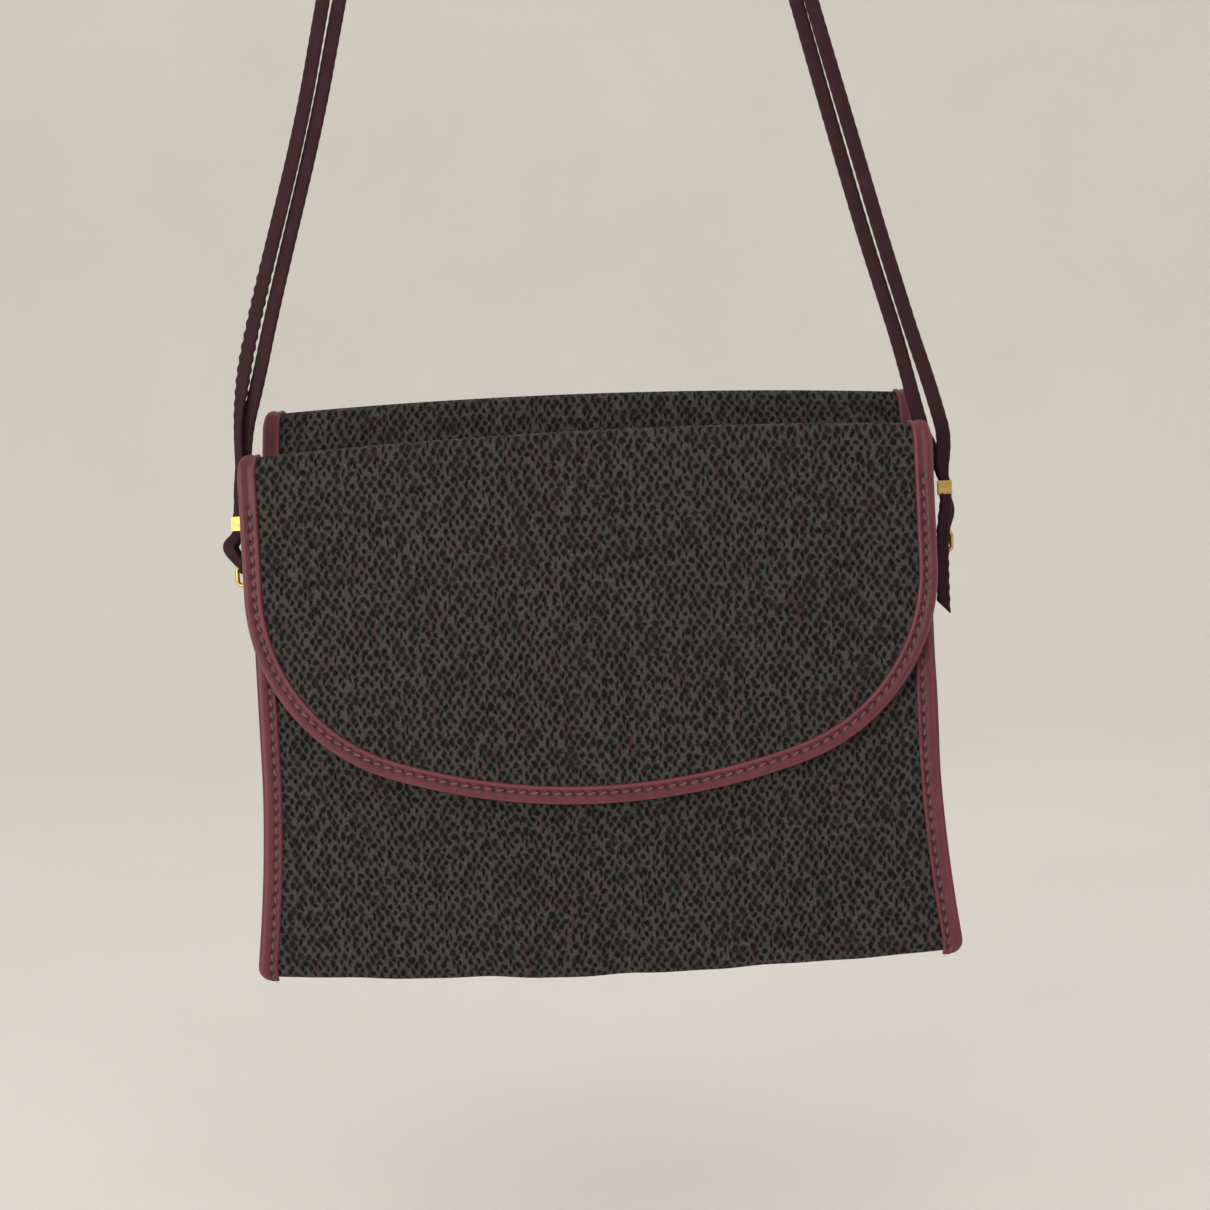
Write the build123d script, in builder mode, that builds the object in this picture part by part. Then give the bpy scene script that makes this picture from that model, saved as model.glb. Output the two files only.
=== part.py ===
from build123d import *

import os
from math import acos, atan2, cos, degrees, hypot, radians, sin

# A small flap shoulder bag of woven canvas with leather edges. It hangs from its doubled
# leather strap. The origin is on the underside of the strap where it lies over a hook or peg.
# X runs along the bag's width, -Y is its front, +Z is up. All lengths are in millimetres.

# ---------------------------------------------------------------- body
BODY_HALF = 127.0           # half width from the mouth down to the flare
BASE_HALF = 132.5           # half width just above the base
BODY_DEPTH = 54.0
MOUTH_Z = -522.0            # top edge of the front panel
FLARE_Z = -640.0            # the sides flare out below this height
CORNER_Z = -709.0           # where the bottom corners begin
CORNER_R = 5.0
BASE_MID_Z = -719.0         # lowest point of the sagging base
GUSSET_BULGE = 3.5          # the gussets stand out this far half way through the depth
GUSSET_EDGE = 4.4           # flat margin of the gusset beside each seam
FLARE_START = 0.31          # share of the flare that grows evenly; the rest grows with the square
CORNER_SWEEP = 84           # degrees of each bottom corner's arc before the base begins
FAR = 300.0                 # larger than the whole bag, for cuts that go right through

CANVAS = 1.6
LINING = 0.6
LEATHER = 1.0
BOARD = 1.5
BINDING_W = 7.0             # width of leather that shows on a bound edge
SIDE_WRAP = 5.8             # how far a body binding wraps onto the gusset's side
MOUTH_BINDING_HALF = 119.5
SEAM_TOP_GAP = 1.0          # the front seam bindings start this far below the mouth
MOUTH_BINDING_WALL = 0.8
MOUTH_BINDING_H = 6.0
BASE_PANEL_HALF = 132.6     # half widths of the base's layers
BASE_BOARD_HALF = 120.0
BASE_LINING_HALF = 118.0
BASE_BAND_H = 20.0          # the base's layers are the lowest part of the body's outline
BOARD_INSET = 1.4           # the board and its lining stop short of the front and the back
BASE_LINING_INSET = 0.8
LINING_DROP = 0.5           # the front lining starts this far below the mouth
LAYER_GAP = 0.05

FRONT_Y = -BODY_DEPTH / 2
BACK_Y = BODY_DEPTH / 2
INNER_Y = BACK_Y - CANVAS
LINED_Y = INNER_Y - LINING

# ---------------------------------------------------------------- flap
FLAP_HALF = 130.0
SHEET = CANVAS + LINING
BOUND = SHEET + 2 * LEATHER
FLAP_SHEET_HALF = FLAP_HALF - LEATHER
FLAP_INNER_HALF = FLAP_HALF - BINDING_W
FLAP_SIDE = 52.0            # straight sides below the front fold's top
FLAP_CORNER_R = 75.0
FLAP_DROP = 136.0

REAR_AXIS = (23.4, -502.6)  # fold line over the back panel, as y and z
REAR_FOLD_R = 2.5
REAR_FOLD_END = 160.0       # degrees: the canvas leaves the rear fold steeply downwards
REAR_RUN = 6.0              # soft run on each side of the rear fold
FRONT_AXIS = (-27.8, -520.0)
FRONT_FOLD_R = 2.9
FRONT_FOLD_END = 60.0
FRONT_RUN = 4.0
VALLEY_R = 9.0
BACK_TOP_Z = REAR_AXIS[1] - REAR_RUN

FLAP_TOP_Z = FRONT_AXIS[1] + FRONT_FOLD_R + SHEET / 2
FLAP_Y = FRONT_AXIS[0] - FRONT_FOLD_R       # middle of the hanging flap's thickness

# ---------------------------------------------------------------- strap
PEG_R = 8.0                 # the strap's apex is curved as over a peg of this radius
STRAND_W = 5.0
STRAND_T = 2.0
STRAND_KEPT_W = 4.2         # the strands are squeezed to this width in the keepers
KEEPER_X = 137.4
KEEPER_Z = -540.0
KEEPER_H = 5.5
KEEPER_WALL = 0.45
STACK = STRAND_T / 2 + 0.05  # the strands lie on each other in the keepers
SPREAD = 3.0                # they lie beside each other above
APEX_GAP = 2.7              # and beside each other over the peg

# ---------------------------------------------------------------- rings and tabs
WIRE_R = 0.85
RING_SIDE = 7.6
RING_CORNER_R = 2.0
RING_INNER_X = 131.6        # the ring's inner side turns in the tab here
RING_X = RING_INNER_X + RING_SIDE / 2
RING_TOP_Z = -556.65        # the strap hangs over the ring's top side here
RING_Z = RING_TOP_Z - RING_SIDE / 2
LOOP_W = 4.0
LOOP_T = 1.9
LOOP_X = RING_X + 0.8       # clear of the tab
LOOP_R = 2.2
LOOP_BULGE_Z = -549.0       # height at which the strap's end loops stand out furthest
LOOP_BULGE_Y = 3.0
LOOP_BULGES = {"left": 5.0, "right": 1.8}
# The strap's tail below its keeper: places of its middle, then its slanted end as x and z.
TAIL_GAP = 3.3
TAIL_PLACES = [(136.4, -6.2, -550), (134.7, -7.6, -565), (134.2, -7.8, -590)]
TAIL_CUT = [(130, -583), (137.2, -591), (130, -591)]
TAB_T = 1.2
TAB_W = 4.2
TAB_BEND_R = 0.9
TAB_END_X = 130.75        # the tab's ends lie flat on the gusset
TAB_FOOT = (131.0, 4.4)     # its bridge starts here, as x and y
TAB_CROWN = (133.4, 2.3)
TAB_REACH = 10.5
HOLE_START_X = 115.0        # cuts through a gusset start inside it
HOLE_L = 35.0
RIVET_Y = 8.0
RIVET_HEAD_R = 1.7
RIVET_SHANK_R = 0.8
RIVET_X = 126.0             # the rivets' inner end
RIVET_L = 6.2
RIVET_HEAD_X = 131.55
RIVET_HEAD_T = 0.7
RIVET_FOOT_T = 0.5
# A rivet's shank, head and foot: where each starts, its radius and its length.
RIVET_STEPS = [
    (RIVET_X, RIVET_SHANK_R, RIVET_L),
    (RIVET_HEAD_X, RIVET_HEAD_R, RIVET_HEAD_T),
    (RIVET_X, RIVET_HEAD_R, RIVET_FOOT_T),
]

# ---------------------------------------------------------------- snap and pocket
SNAP_Z = -628.0
SNAP_R = 8.0
SNAP_HOLE_R = 3.3
SNAP_NUB_R = 3.0
SNAP_T = 1.1
SNAP_NUB_H = 1.1
POCKET_HALF = 85.0
POCKET_TOP_Z = -585.0
POCKET_BOTTOM_Z = -690.0
TAPE_H = 14.0
TEETH_HALF = 80.0
TEETH_H = 4.0
TEETH_T = 1.0
ZIP_Z = POCKET_TOP_Z + TAPE_H / 2
SLIDER_X = 74.0
SLIDER_W = 9.0
SLIDER_H = 7.6
SLIDER_T = 2.2
SLIDER_CORNER_R = 1.5
SLIDER_LIFT = 0.3           # the slider's plate clears the teeth by this much
RAIL_W = 1.4                # two rails reach past the teeth to the tape
RAIL_T = 1.1
RAIL_INSET = 1.5            # the rails stop this far short of the plate's ends
EAR_W = 1.0                 # two ears hold the pull's pin
EAR_H = 3.0
EAR_REACH = 2.6
EAR_GAP = 0.25
PIN_R = 0.7
PIN_REACH = 1.5             # the pin stands this far off the plate
PULL_W = 4.6
PULL_L = 22.0
PULL_T = 1.0
EYE_WALL = 0.75
EYE_GAP = 0.08
PULL_DROP_Y = 0.6           # the pull's blade hangs this far in front of its pin

SIDES = {"left": -1, "right": 1}


def save(piece, name):
    """Name a finished piece and write it to its own file."""
    piece.part.label = name
    export_step(piece.part, f"parts/{name}.step")


def facing(y):
    """A vertical plane at depth y, seen from the front: local x and y are X and Z."""
    return Plane.XZ.offset(-y)


def rise(t, start, end):
    """A smooth step from 0 at start to 1 at end."""
    part = min(1, max(0, (t - start) / (end - start)))
    return part * part * (3 - 2 * part)


def side_half(z):
    """The body's half width at a height: straight above, flaring towards the base."""
    t = min(1, max(0, (FLARE_Z - z) / (FLARE_Z - CORNER_Z)))
    return BODY_HALF + (BASE_HALF - BODY_HALF) * (FLARE_START * t + (1 - FLARE_START) * t * t)


# ---------------------------------------------------------------- outlines
def body_outline(cut_z, back=False, grow=0):
    """The body seen from the front, cut level at cut_z: sides, a flare, corners, a sagging base.

    The back is a little wider at its top, where the flap rises from it.
    """
    high_z = BACK_TOP_Z + 20
    widen = (FLAP_SHEET_HALF - BODY_HALF) * (high_z - FLARE_Z) / (BACK_TOP_Z - FLARE_Z)
    high_half = BODY_HALF + (widen if back else 0)
    with BuildSketch() as outline:
        with BuildLine():
            side = Line((high_half, high_z), (BODY_HALF, FLARE_Z))
            middle = (side_half((FLARE_Z + CORNER_Z) / 2), (FLARE_Z + CORNER_Z) / 2)
            flare = ThreePointArc(side @ 1, middle, (BASE_HALF, CORNER_Z))
            corner = CenterArc((BASE_HALF - CORNER_R, CORNER_Z), CORNER_R, 0, -CORNER_SWEEP)
            mirror([side, flare, corner], about=Plane.YZ)
            ThreePointArc(corner @ 1, (0, BASE_MID_Z), (-(corner @ 1).X, (corner @ 1).Y))
            Line((high_half, high_z), (-high_half, high_z))
        make_face()
        if grow:
            offset(amount=grow)
        with Locations((0, cut_z - FAR / 2)):
            Rectangle(2 * FAR, FAR, mode=Mode.INTERSECT)
    return outline.sketch


def flap_outline(inset, top_z):
    """The flap seen from the front: straight sides, round corners, a long bottom arc."""
    half = FLAP_HALF - inset
    side_z = FLAP_TOP_Z - FLAP_SIDE
    corner_x = FLAP_HALF - FLAP_CORNER_R
    below = FLAP_DROP - FLAP_SIDE
    bottom_r = (corner_x**2 + below**2 - FLAP_CORNER_R**2) / (2 * (below - FLAP_CORNER_R))
    turn = degrees(atan2(bottom_r - below, corner_x))
    with BuildSketch() as outline:
        with BuildLine():
            side = Line((half, top_z), (half, side_z))
            corner = CenterArc((corner_x, side_z), FLAP_CORNER_R - inset, 0, -turn)
            mirror([side, corner], about=Plane.YZ)
            end = corner @ 1
            ThreePointArc(end, (0, FLAP_TOP_Z - FLAP_DROP + inset), (-end.X, end.Y))
            Line((half, top_z), (-half, top_z))
        make_face()
    return outline.sketch


def gusset_section(half, bulge, inset, depth):
    """One level cut through a gusset: flat margins and a bulge between them."""
    flat = INNER_Y - GUSSET_EDGE
    thick = CANVAS if inset == 0 else LINING
    outer = half - inset
    inner = outer - thick
    with BuildSketch() as section:
        with BuildLine():
            Line((outer, -depth), (outer, -flat))
            ThreePointArc((outer, -flat), (outer + bulge, 0), (outer, flat))
            Line((outer, flat), (outer, depth))
            Line((outer, depth), (inner, depth))
            Line((inner, depth), (inner, flat))
            ThreePointArc((inner, flat), (inner + bulge, 0), (inner, -flat))
            Line((inner, -flat), (inner, -depth))
            Line((inner, -depth), (outer, -depth))
        make_face()
    return section.sketch


# Heights of the gusset's level cuts, each with its share of the bulge.
GUSSET_LEVELS = [(-505, 0.6), (-545, 1), (-640, 1), (-655, 0.97), (-670, 0.88)]
GUSSET_LEVELS += [(-682, 0.74), (-692, 0.52), (-700, 0.3), (-708, 0.1)]
GUSSET_GAP = 0.25           # the gusset stops this far short of the panels' edges
# The gusset's top edge, as y and z: it dips to leave room for the flap's valley.
GUSSET_TOP = [(-INNER_Y, -523.5), (3, -539.5), (12, -539.5), (INNER_Y, -509)]


# ---------------------------------------------------------------- body pieces
def make_front_panel():
    with BuildPart() as panel:
        with BuildSketch(facing(-INNER_Y)):
            add(body_outline(MOUTH_Z))
        extrude(amount=CANVAS)
    save(panel, "front_panel")


def make_back_panel():
    with BuildPart() as panel:
        with BuildSketch(facing(BACK_Y)):
            add(body_outline(BACK_TOP_Z, back=True))
        extrude(amount=CANVAS)
    save(panel, "back_panel")


def make_gusset(name, side, inset, depth):
    """A side wall, or its lining, bulging outwards, with its top edge dipping under the flap."""
    with BuildPart() as wall:
        for z, share in GUSSET_LEVELS:
            with BuildSketch(Plane.XY.offset(z)):
                add(gusset_section(side_half(z) - GUSSET_GAP, GUSSET_BULGE * share, inset, depth))
        loft(ruled=True)
        with BuildSketch(Plane.YZ.offset(HOLE_START_X)):
            with BuildLine():
                Polyline(
                    (-BODY_DEPTH, GUSSET_TOP[0][1]),
                    *GUSSET_TOP,
                    (BODY_DEPTH, GUSSET_TOP[-1][1]),
                    (BODY_DEPTH, MOUTH_Z + BODY_DEPTH),
                    (-BODY_DEPTH, MOUTH_Z + BODY_DEPTH),
                    close=True,
                )
            make_face()
        extrude(amount=HOLE_L, mode=Mode.SUBTRACT)
        add(rivet_holes(), mode=Mode.SUBTRACT)
        if side < 0:
            mirror(about=Plane.YZ, mode=Mode.REPLACE)
    save(wall, name)


def rivet_holes():
    """The room for one tab's two rivets, on the right side."""
    with BuildPart() as holes:
        with BuildSketch(Plane.YZ.offset(HOLE_START_X)):
            with Locations((-RIVET_Y, RING_Z), (RIVET_Y, RING_Z)):
                Circle(RIVET_SHANK_R + LAYER_GAP)
        extrude(amount=HOLE_L)
    return holes.part


def make_base_layer(name, outer, inner, half, depth):
    """A layer of the base, between two offsets of the body's outline."""
    with BuildPart() as band:
        with BuildSketch(facing(depth)):
            add(body_outline(MOUTH_Z, grow=outer))
            add(body_outline(MOUTH_Z + 5, grow=inner), mode=Mode.SUBTRACT)
            with Locations((0, BASE_MID_Z + 1)):
                Rectangle(2 * half, BASE_BAND_H, mode=Mode.INTERSECT)
        extrude(amount=2 * depth)
    save(band, name)


def make_wall_lining(name, top_z, back_y):
    """The lining of the front or the back, just inside the gussets."""
    with BuildPart() as lining:
        with BuildSketch(facing(back_y)):
            add(body_outline(top_z, grow=-CANVAS - 2 * GUSSET_GAP))
        extrude(amount=LINING)
    save(lining, name)


def make_seam_binding(name, side, front):
    """Leather down a seam of the body to the base: one leg on the panel, one on the gusset."""
    face_y = FRONT_Y if front else BACK_Y + LEATHER
    wrap_y = FRONT_Y + SIDE_WRAP if front else BACK_Y
    top_z = MOUTH_Z - SEAM_TOP_GAP if front else BACK_TOP_Z
    legs = [(face_y, LEATHER, BINDING_W - LEATHER), (wrap_y, SIDE_WRAP, 0)]
    end_z = CORNER_Z + BINDING_W
    end_half = side_half(end_z) + LEATHER - BINDING_W
    with BuildPart() as binding:
        for leg_y, leg_depth, inset in legs:
            with BuildSketch(facing(leg_y)):
                add(body_outline(top_z, not front, LEATHER))
                add(body_outline(top_z + 5, not front, -inset), mode=Mode.SUBTRACT)
                with Locations((side * FAR / 2, top_z - FAR / 2)):
                    Rectangle(FAR, FAR, mode=Mode.INTERSECT)
                with Locations((side * (end_half - FAR / 2), end_z - FAR / 2)):
                    Rectangle(FAR, FAR, mode=Mode.SUBTRACT)
            extrude(amount=leg_depth)
    save(binding, name)


def make_mouth_binding():
    """Leather folded over the front panel's top edge, between the side bindings."""
    middle_y = FRONT_Y + SHEET / 2
    with BuildPart() as binding:
        with BuildSketch(Plane.YZ.offset(-MOUTH_BINDING_HALF)):
            with Locations((middle_y, MOUTH_Z + MOUTH_BINDING_WALL - MOUTH_BINDING_H / 2)):
                Rectangle(SHEET + 2 * MOUTH_BINDING_WALL, MOUTH_BINDING_H)
            with Locations((middle_y, MOUTH_Z - MOUTH_BINDING_H)):
                Rectangle(SHEET, 2 * MOUTH_BINDING_H, mode=Mode.SUBTRACT)
        extrude(amount=2 * MOUTH_BINDING_HALF)
    save(binding, "mouth_binding")


# ---------------------------------------------------------------- flap pieces
def along(point, angle, length):
    """The point a length away from another, at an angle in degrees from +Y, in the YZ plane."""
    return (point[0] + length * cos(radians(angle)), point[1] + length * sin(radians(angle)))


def rear_fold_line(shift):
    """The canvas over the rear fold, up the back and down into the valley."""
    radius = REAR_FOLD_R + shift
    up = Line((REAR_AXIS[0] + radius, REAR_AXIS[1] - REAR_RUN), (REAR_AXIS[0] + radius, REAR_AXIS[1]))
    CenterArc(REAR_AXIS, radius, 0, REAR_FOLD_END)
    start = along(REAR_AXIS, REAR_FOLD_END, radius)
    Line(start, along(start, REAR_FOLD_END + 90, REAR_RUN))
    return up


def front_fold_line(shift):
    """The canvas over the front fold, out of the valley and down the front."""
    radius = FRONT_FOLD_R + shift
    start = along(FRONT_AXIS, FRONT_FOLD_END, radius)
    Line(along(start, FRONT_FOLD_END - 90, FRONT_RUN), start)
    CenterArc(FRONT_AXIS, radius, FRONT_FOLD_END, 180 - FRONT_FOLD_END)
    down_y = FRONT_AXIS[0] - radius
    Line((down_y, FRONT_AXIS[1]), (down_y, FRONT_AXIS[1] - FRONT_RUN))


def valley_line(shift):
    """The flap's top between the soft folds: steeply down, round the valley, gently up."""
    rear = along(REAR_AXIS, REAR_FOLD_END, REAR_FOLD_R + shift)
    rear = along(rear, REAR_FOLD_END + 90, REAR_RUN)
    front = along(FRONT_AXIS, FRONT_FOLD_END, FRONT_FOLD_R + shift)
    front = along(front, FRONT_FOLD_END - 90, FRONT_RUN)
    a = radians(REAR_FOLD_END + 90)
    b = radians(FRONT_FOLD_END - 90)
    gap_y = front[0] - rear[0]
    gap_z = front[1] - rear[1]
    reach = (gap_y * sin(b) - gap_z * cos(b)) / (cos(a) * sin(b) - sin(a) * cos(b))
    corner = (rear[0] + reach * cos(a), rear[1] + reach * sin(a))
    FilletPolyline(rear, corner, front, radius=VALLEY_R - shift)


def make_bent_sheet(name, line, shift, thick, half):
    """A sheet bent along a line in the YZ plane, running across the bag's width."""
    with BuildPart() as sheet:
        with BuildSketch(Plane.YZ.offset(-half)):
            with BuildLine():
                line(shift)
            trace(line_width=thick)
        extrude(amount=2 * half)
    save(sheet, name)


def make_bent_binding(name, line):
    """The leather round both side edges of a bent sheet, one solid at each side."""
    with BuildPart() as binding:
        for start in (-FLAP_HALF, FLAP_INNER_HALF):
            with BuildSketch(Plane.YZ.offset(start)):
                with BuildLine():
                    line(0)
                trace(line_width=BOUND)
            extrude(amount=BINDING_W)
        with BuildSketch(Plane.YZ.offset(-FLAP_SHEET_HALF)):
            with BuildLine():
                line(0)
            trace(line_width=SHEET)
        extrude(amount=2 * FLAP_SHEET_HALF, mode=Mode.SUBTRACT)
    save(binding, name)


def make_flap_sheet(name, back_y, thick):
    """The hanging D-shaped part of the flap, below the soft front fold."""
    with BuildPart() as sheet:
        with BuildSketch(facing(back_y)):
            add(flap_outline(LEATHER, FRONT_AXIS[1] - FRONT_RUN))
        extrude(amount=thick)
    save(sheet, name)


def make_flap_binding():
    """The leather folded round the hanging flap's edge."""
    top = FRONT_AXIS[1] - FRONT_RUN
    with BuildPart() as binding:
        with BuildSketch(facing(FLAP_Y + BOUND / 2)):
            add(flap_outline(0, top))
            add(flap_outline(BINDING_W, top + 5), mode=Mode.SUBTRACT)
        extrude(amount=BOUND)
        with BuildSketch(facing(FLAP_Y + SHEET / 2)):
            add(flap_outline(LEATHER, top + 5))
        extrude(amount=SHEET, mode=Mode.SUBTRACT)
    save(binding, "flap_binding")


# ---------------------------------------------------------------- strap pieces
def leg_frame(side):
    """A leg of the strap above its keeper: start, direction, outward normal, length, angle."""
    mid_r = PEG_R + STRAND_T / 2
    start = Vector(side * KEEPER_X, 0, KEEPER_Z + KEEPER_H / 2)
    down = -start.Z - PEG_R
    angle = atan2(-down, KEEPER_X) + acos(mid_r / hypot(KEEPER_X, down))
    end = Vector(side * mid_r * cos(angle), 0, -PEG_R + mid_r * sin(angle))
    direction = (end - start).normalized()
    outward = Vector(side * direction.Z, 0, -side * direction.X)
    return start, direction, outward, (end - start).length, degrees(angle)


def keeper_foot(side):
    """The middle of a keeper's lower end."""
    return Vector(side * KEEPER_X, 0, KEEPER_Z - KEEPER_H / 2)


LEVEL = (1, 0, 0)
UPRIGHT = (0, 0, 1)


def strip_section(center, across, normal, width, thick):
    """A rectangle across a strap: width along the direction across, thickness along the other."""
    plane = Plane(origin=center, x_dir=across, z_dir=normal)
    with BuildSketch(plane) as section:
        Rectangle(width, thick)
    return section.sketch


# Shares of a leg's length over which the strands move beside each other, come together again,
# move apart in depth and turn flat on the peg.
STRANDS_PART = (0, 0.12)
STRANDS_MEET = (0.7, 0.98)
STRANDS_APART = (0.45, 0.75)
STRANDS_TURN = (0.45, 0.95)
STRAND_STATIONS = (0.03, 0.06, 0.09, 0.13, 0.25, 0.45, 0.55, 0.65, 0.75, 0.85, 0.95, 1.0)


def make_strand(name, front):
    """One strand from keeper to keeper. It turns a quarter turn before it lies over the peg."""
    depth_side = -1 if front else 1
    with BuildPart() as strand:
        for side in (-1, 1):
            start, direction, outward, length, angle = leg_frame(side)
            apart = Vector(0, depth_side * STACK, 0)
            ends = (keeper_foot(side) + apart, start + apart)
            sections = [strip_section(end, LEVEL, UPRIGHT, STRAND_KEPT_W, STRAND_T) for end in ends]
            for t in STRAND_STATIONS:
                spread = SPREAD * rise(t, *STRANDS_PART) * (1 - rise(t, *STRANDS_MEET))
                depth = STACK + (APEX_GAP - STACK) * rise(t, *STRANDS_APART)
                turn = radians(90 * rise(t, *STRANDS_TURN))
                center = start + direction * (length * t)
                center += outward * (spread * -depth_side) + Vector(0, depth_side * depth, 0)
                across = outward * cos(turn) + Vector(0, 1, 0) * sin(turn)
                sections.append(strip_section(center, across, direction, STRAND_W, STRAND_T))
            loft(sections, ruled=True)
        with BuildSketch(facing(depth_side * APEX_GAP + STRAND_W / 2)):
            with BuildLine():
                CenterArc((0, -PEG_R), PEG_R + STRAND_T / 2, angle, 180 - 2 * angle)
            trace(line_width=STRAND_T)
        extrude(amount=STRAND_W)
    save(strand, name)


def make_loop(name, side, bulge):
    """The end of the strap: both layers bulge below the keeper and close round the ring."""
    with BuildPart() as loop:
        for depth_side in (-1, 1):
            top = keeper_foot(side) + Vector(0, depth_side * STACK, 0)
            out = (side * (LOOP_X + bulge), depth_side * LOOP_BULGE_Y, LOOP_BULGE_Z)
            foot = (side * LOOP_X, depth_side * LOOP_R, RING_TOP_Z)
            sections = [
                strip_section(top, LEVEL, UPRIGHT, STRAND_KEPT_W, LOOP_T),
                strip_section(out, LEVEL, UPRIGHT, STRAND_W, LOOP_T),
                strip_section(foot, LEVEL, UPRIGHT, LOOP_W, LOOP_T),
            ]
            loft(sections, ruled=True)
        with BuildSketch(Plane.YZ.offset(side * LOOP_X - LOOP_W / 2)):
            with BuildLine():
                CenterArc((0, RING_TOP_Z), LOOP_R, 180, 180)
            trace(line_width=LOOP_T)
        extrude(amount=LOOP_W)
    save(loop, name)


def make_tail():
    """The pointed free end of the strap, hanging in front of the right ring."""
    with BuildPart() as tail:
        top = keeper_foot(1) - Vector(0, TAIL_GAP, 0)
        sections = [strip_section(top, LEVEL, UPRIGHT, STRAND_KEPT_W, STRAND_T)]
        sections += [strip_section(place, LEVEL, UPRIGHT, STRAND_W, STRAND_T) for place in TAIL_PLACES]
        loft(sections, ruled=True)
        with BuildSketch(facing(0)):
            with BuildLine():
                Polyline(*TAIL_CUT, close=True)
            make_face()
        extrude(amount=BACK_Y, mode=Mode.SUBTRACT)
    save(tail, "strap_tail")


def make_keeper(name, side):
    """The metal band round both strands."""
    inner_w = STRAND_KEPT_W + 2 * LAYER_GAP
    inner_d = 2 * (STACK + STRAND_T / 2) + 2 * LAYER_GAP
    with BuildPart() as band:
        with BuildSketch(Plane(origin=keeper_foot(side), x_dir=(0, 1, 0), z_dir=UPRIGHT)):
            Rectangle(inner_d + 2 * KEEPER_WALL, inner_w + 2 * KEEPER_WALL)
            Rectangle(inner_d, inner_w, mode=Mode.SUBTRACT)
        extrude(amount=KEEPER_H)
    save(band, name)


# ---------------------------------------------------------------- rings, tabs and rivets
def make_ring(name, side):
    """A ring of round wire with nearly straight sides, facing the front, swept in two halves."""
    half = RING_SIDE / 2
    center_x = side * RING_X
    with BuildPart() as ring:
        for turn in (-1, 1):
            with BuildLine(Plane.XZ) as path:
                FilletPolyline(
                    (center_x, RING_Z + half),
                    (center_x + turn * half, RING_Z + half),
                    (center_x + turn * half, RING_Z - half),
                    (center_x, RING_Z - half),
                    radius=RING_CORNER_R,
                )
            with BuildSketch(Plane(origin=path.line @ 0, z_dir=path.line % 0)):
                Circle(WIRE_R)
            sweep(path=path.line)
    save(ring, name)


def make_tab(name, side):
    """The leather bridge on the gusset that the ring's inner side passes behind."""
    with BuildPart() as tab:
        with BuildSketch(Plane.XY.offset(RING_Z - TAB_W / 2)):
            with BuildLine():
                half = [TAB_CROWN, TAB_FOOT, (TAB_END_X, TAB_REACH)]
                FilletPolyline(*[(x, -y) for x, y in half[::-1]], *half, radius=TAB_BEND_R)
            trace(line_width=TAB_T)
        extrude(amount=TAB_W)
        add(rivet_holes(), mode=Mode.SUBTRACT)
        if side < 0:
            mirror(about=Plane.YZ, mode=Mode.REPLACE)
    save(tab, name)


def make_rivets():
    """Four rivets, two through each tab and gusset, with a head at each end."""
    with BuildPart() as rivets:
        for y in (-RIVET_Y, RIVET_Y):
            for side in (-1, 1):
                for start_x, radius, length in RIVET_STEPS:
                    with BuildSketch(Plane.YZ.offset(side * start_x)):
                        with Locations((y, RING_Z)):
                            Circle(radius)
                    extrude(amount=side * length)
    save(rivets, "tab_rivets")


# ---------------------------------------------------------------- snap
def make_snap():
    """A socket with a hole on the front panel and a stud with a nub on the flap's lining."""
    with BuildPart() as socket:
        with BuildSketch(facing(FRONT_Y)):
            with Locations((0, SNAP_Z)):
                Circle(SNAP_R)
                Circle(SNAP_HOLE_R, mode=Mode.SUBTRACT)
        extrude(amount=SNAP_T)
    save(socket, "snap_socket")
    lining_y = FLAP_Y + SHEET / 2
    with BuildPart() as stud:
        with BuildSketch(facing(lining_y + SNAP_T)):
            with Locations((0, SNAP_Z)):
                Circle(SNAP_R)
        extrude(amount=SNAP_T)
        with BuildSketch(facing(lining_y + SNAP_T + SNAP_NUB_H)):
            with Locations((0, SNAP_Z)):
                Circle(SNAP_NUB_R)
        extrude(amount=SNAP_NUB_H)
    save(stud, "snap_stud")


# ---------------------------------------------------------------- inside pocket
def make_slab(name, center_z, half, height, back_y, thick):
    """A flat strip on the back lining."""
    with BuildPart() as slab:
        with BuildSketch(facing(back_y)):
            with Locations((0, center_z)):
                Rectangle(2 * half, height)
        extrude(amount=thick)
    save(slab, name)


SLIDER_Y = LINED_Y - LINING - TEETH_T - SLIDER_LIFT
PIN_Y = SLIDER_Y - SLIDER_T - PIN_REACH


def make_slider():
    """The zip's slider: a plate that straddles the teeth, with two ears and a pin for the pull."""
    with BuildPart() as slider:
        with BuildSketch(facing(SLIDER_Y)):
            with Locations((SLIDER_X, ZIP_Z)):
                RectangleRounded(SLIDER_W, SLIDER_H, SLIDER_CORNER_R)
        extrude(amount=SLIDER_T)
        with BuildSketch(facing(SLIDER_Y + RAIL_T)):
            for rail in (-1, 1):
                with Locations((SLIDER_X, ZIP_Z + rail * (SLIDER_H - RAIL_W) / 2)):
                    Rectangle(SLIDER_W - 2 * RAIL_INSET, RAIL_W)
        extrude(amount=RAIL_T)
        with BuildSketch(facing(SLIDER_Y - SLIDER_T)):
            for ear in (-1, 1):
                with Locations((SLIDER_X + ear * (PULL_W / 2 + EAR_GAP + EAR_W / 2), ZIP_Z)):
                    Rectangle(EAR_W, EAR_H)
        extrude(amount=EAR_REACH)
        with BuildSketch(Plane.YZ.offset(SLIDER_X - PULL_W / 2 - EAR_W)):
            with Locations((PIN_Y, ZIP_Z)):
                Circle(PIN_R)
        extrude(amount=PULL_W + 2 * EAR_W)
    save(slider, "zip_slider")


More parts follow.
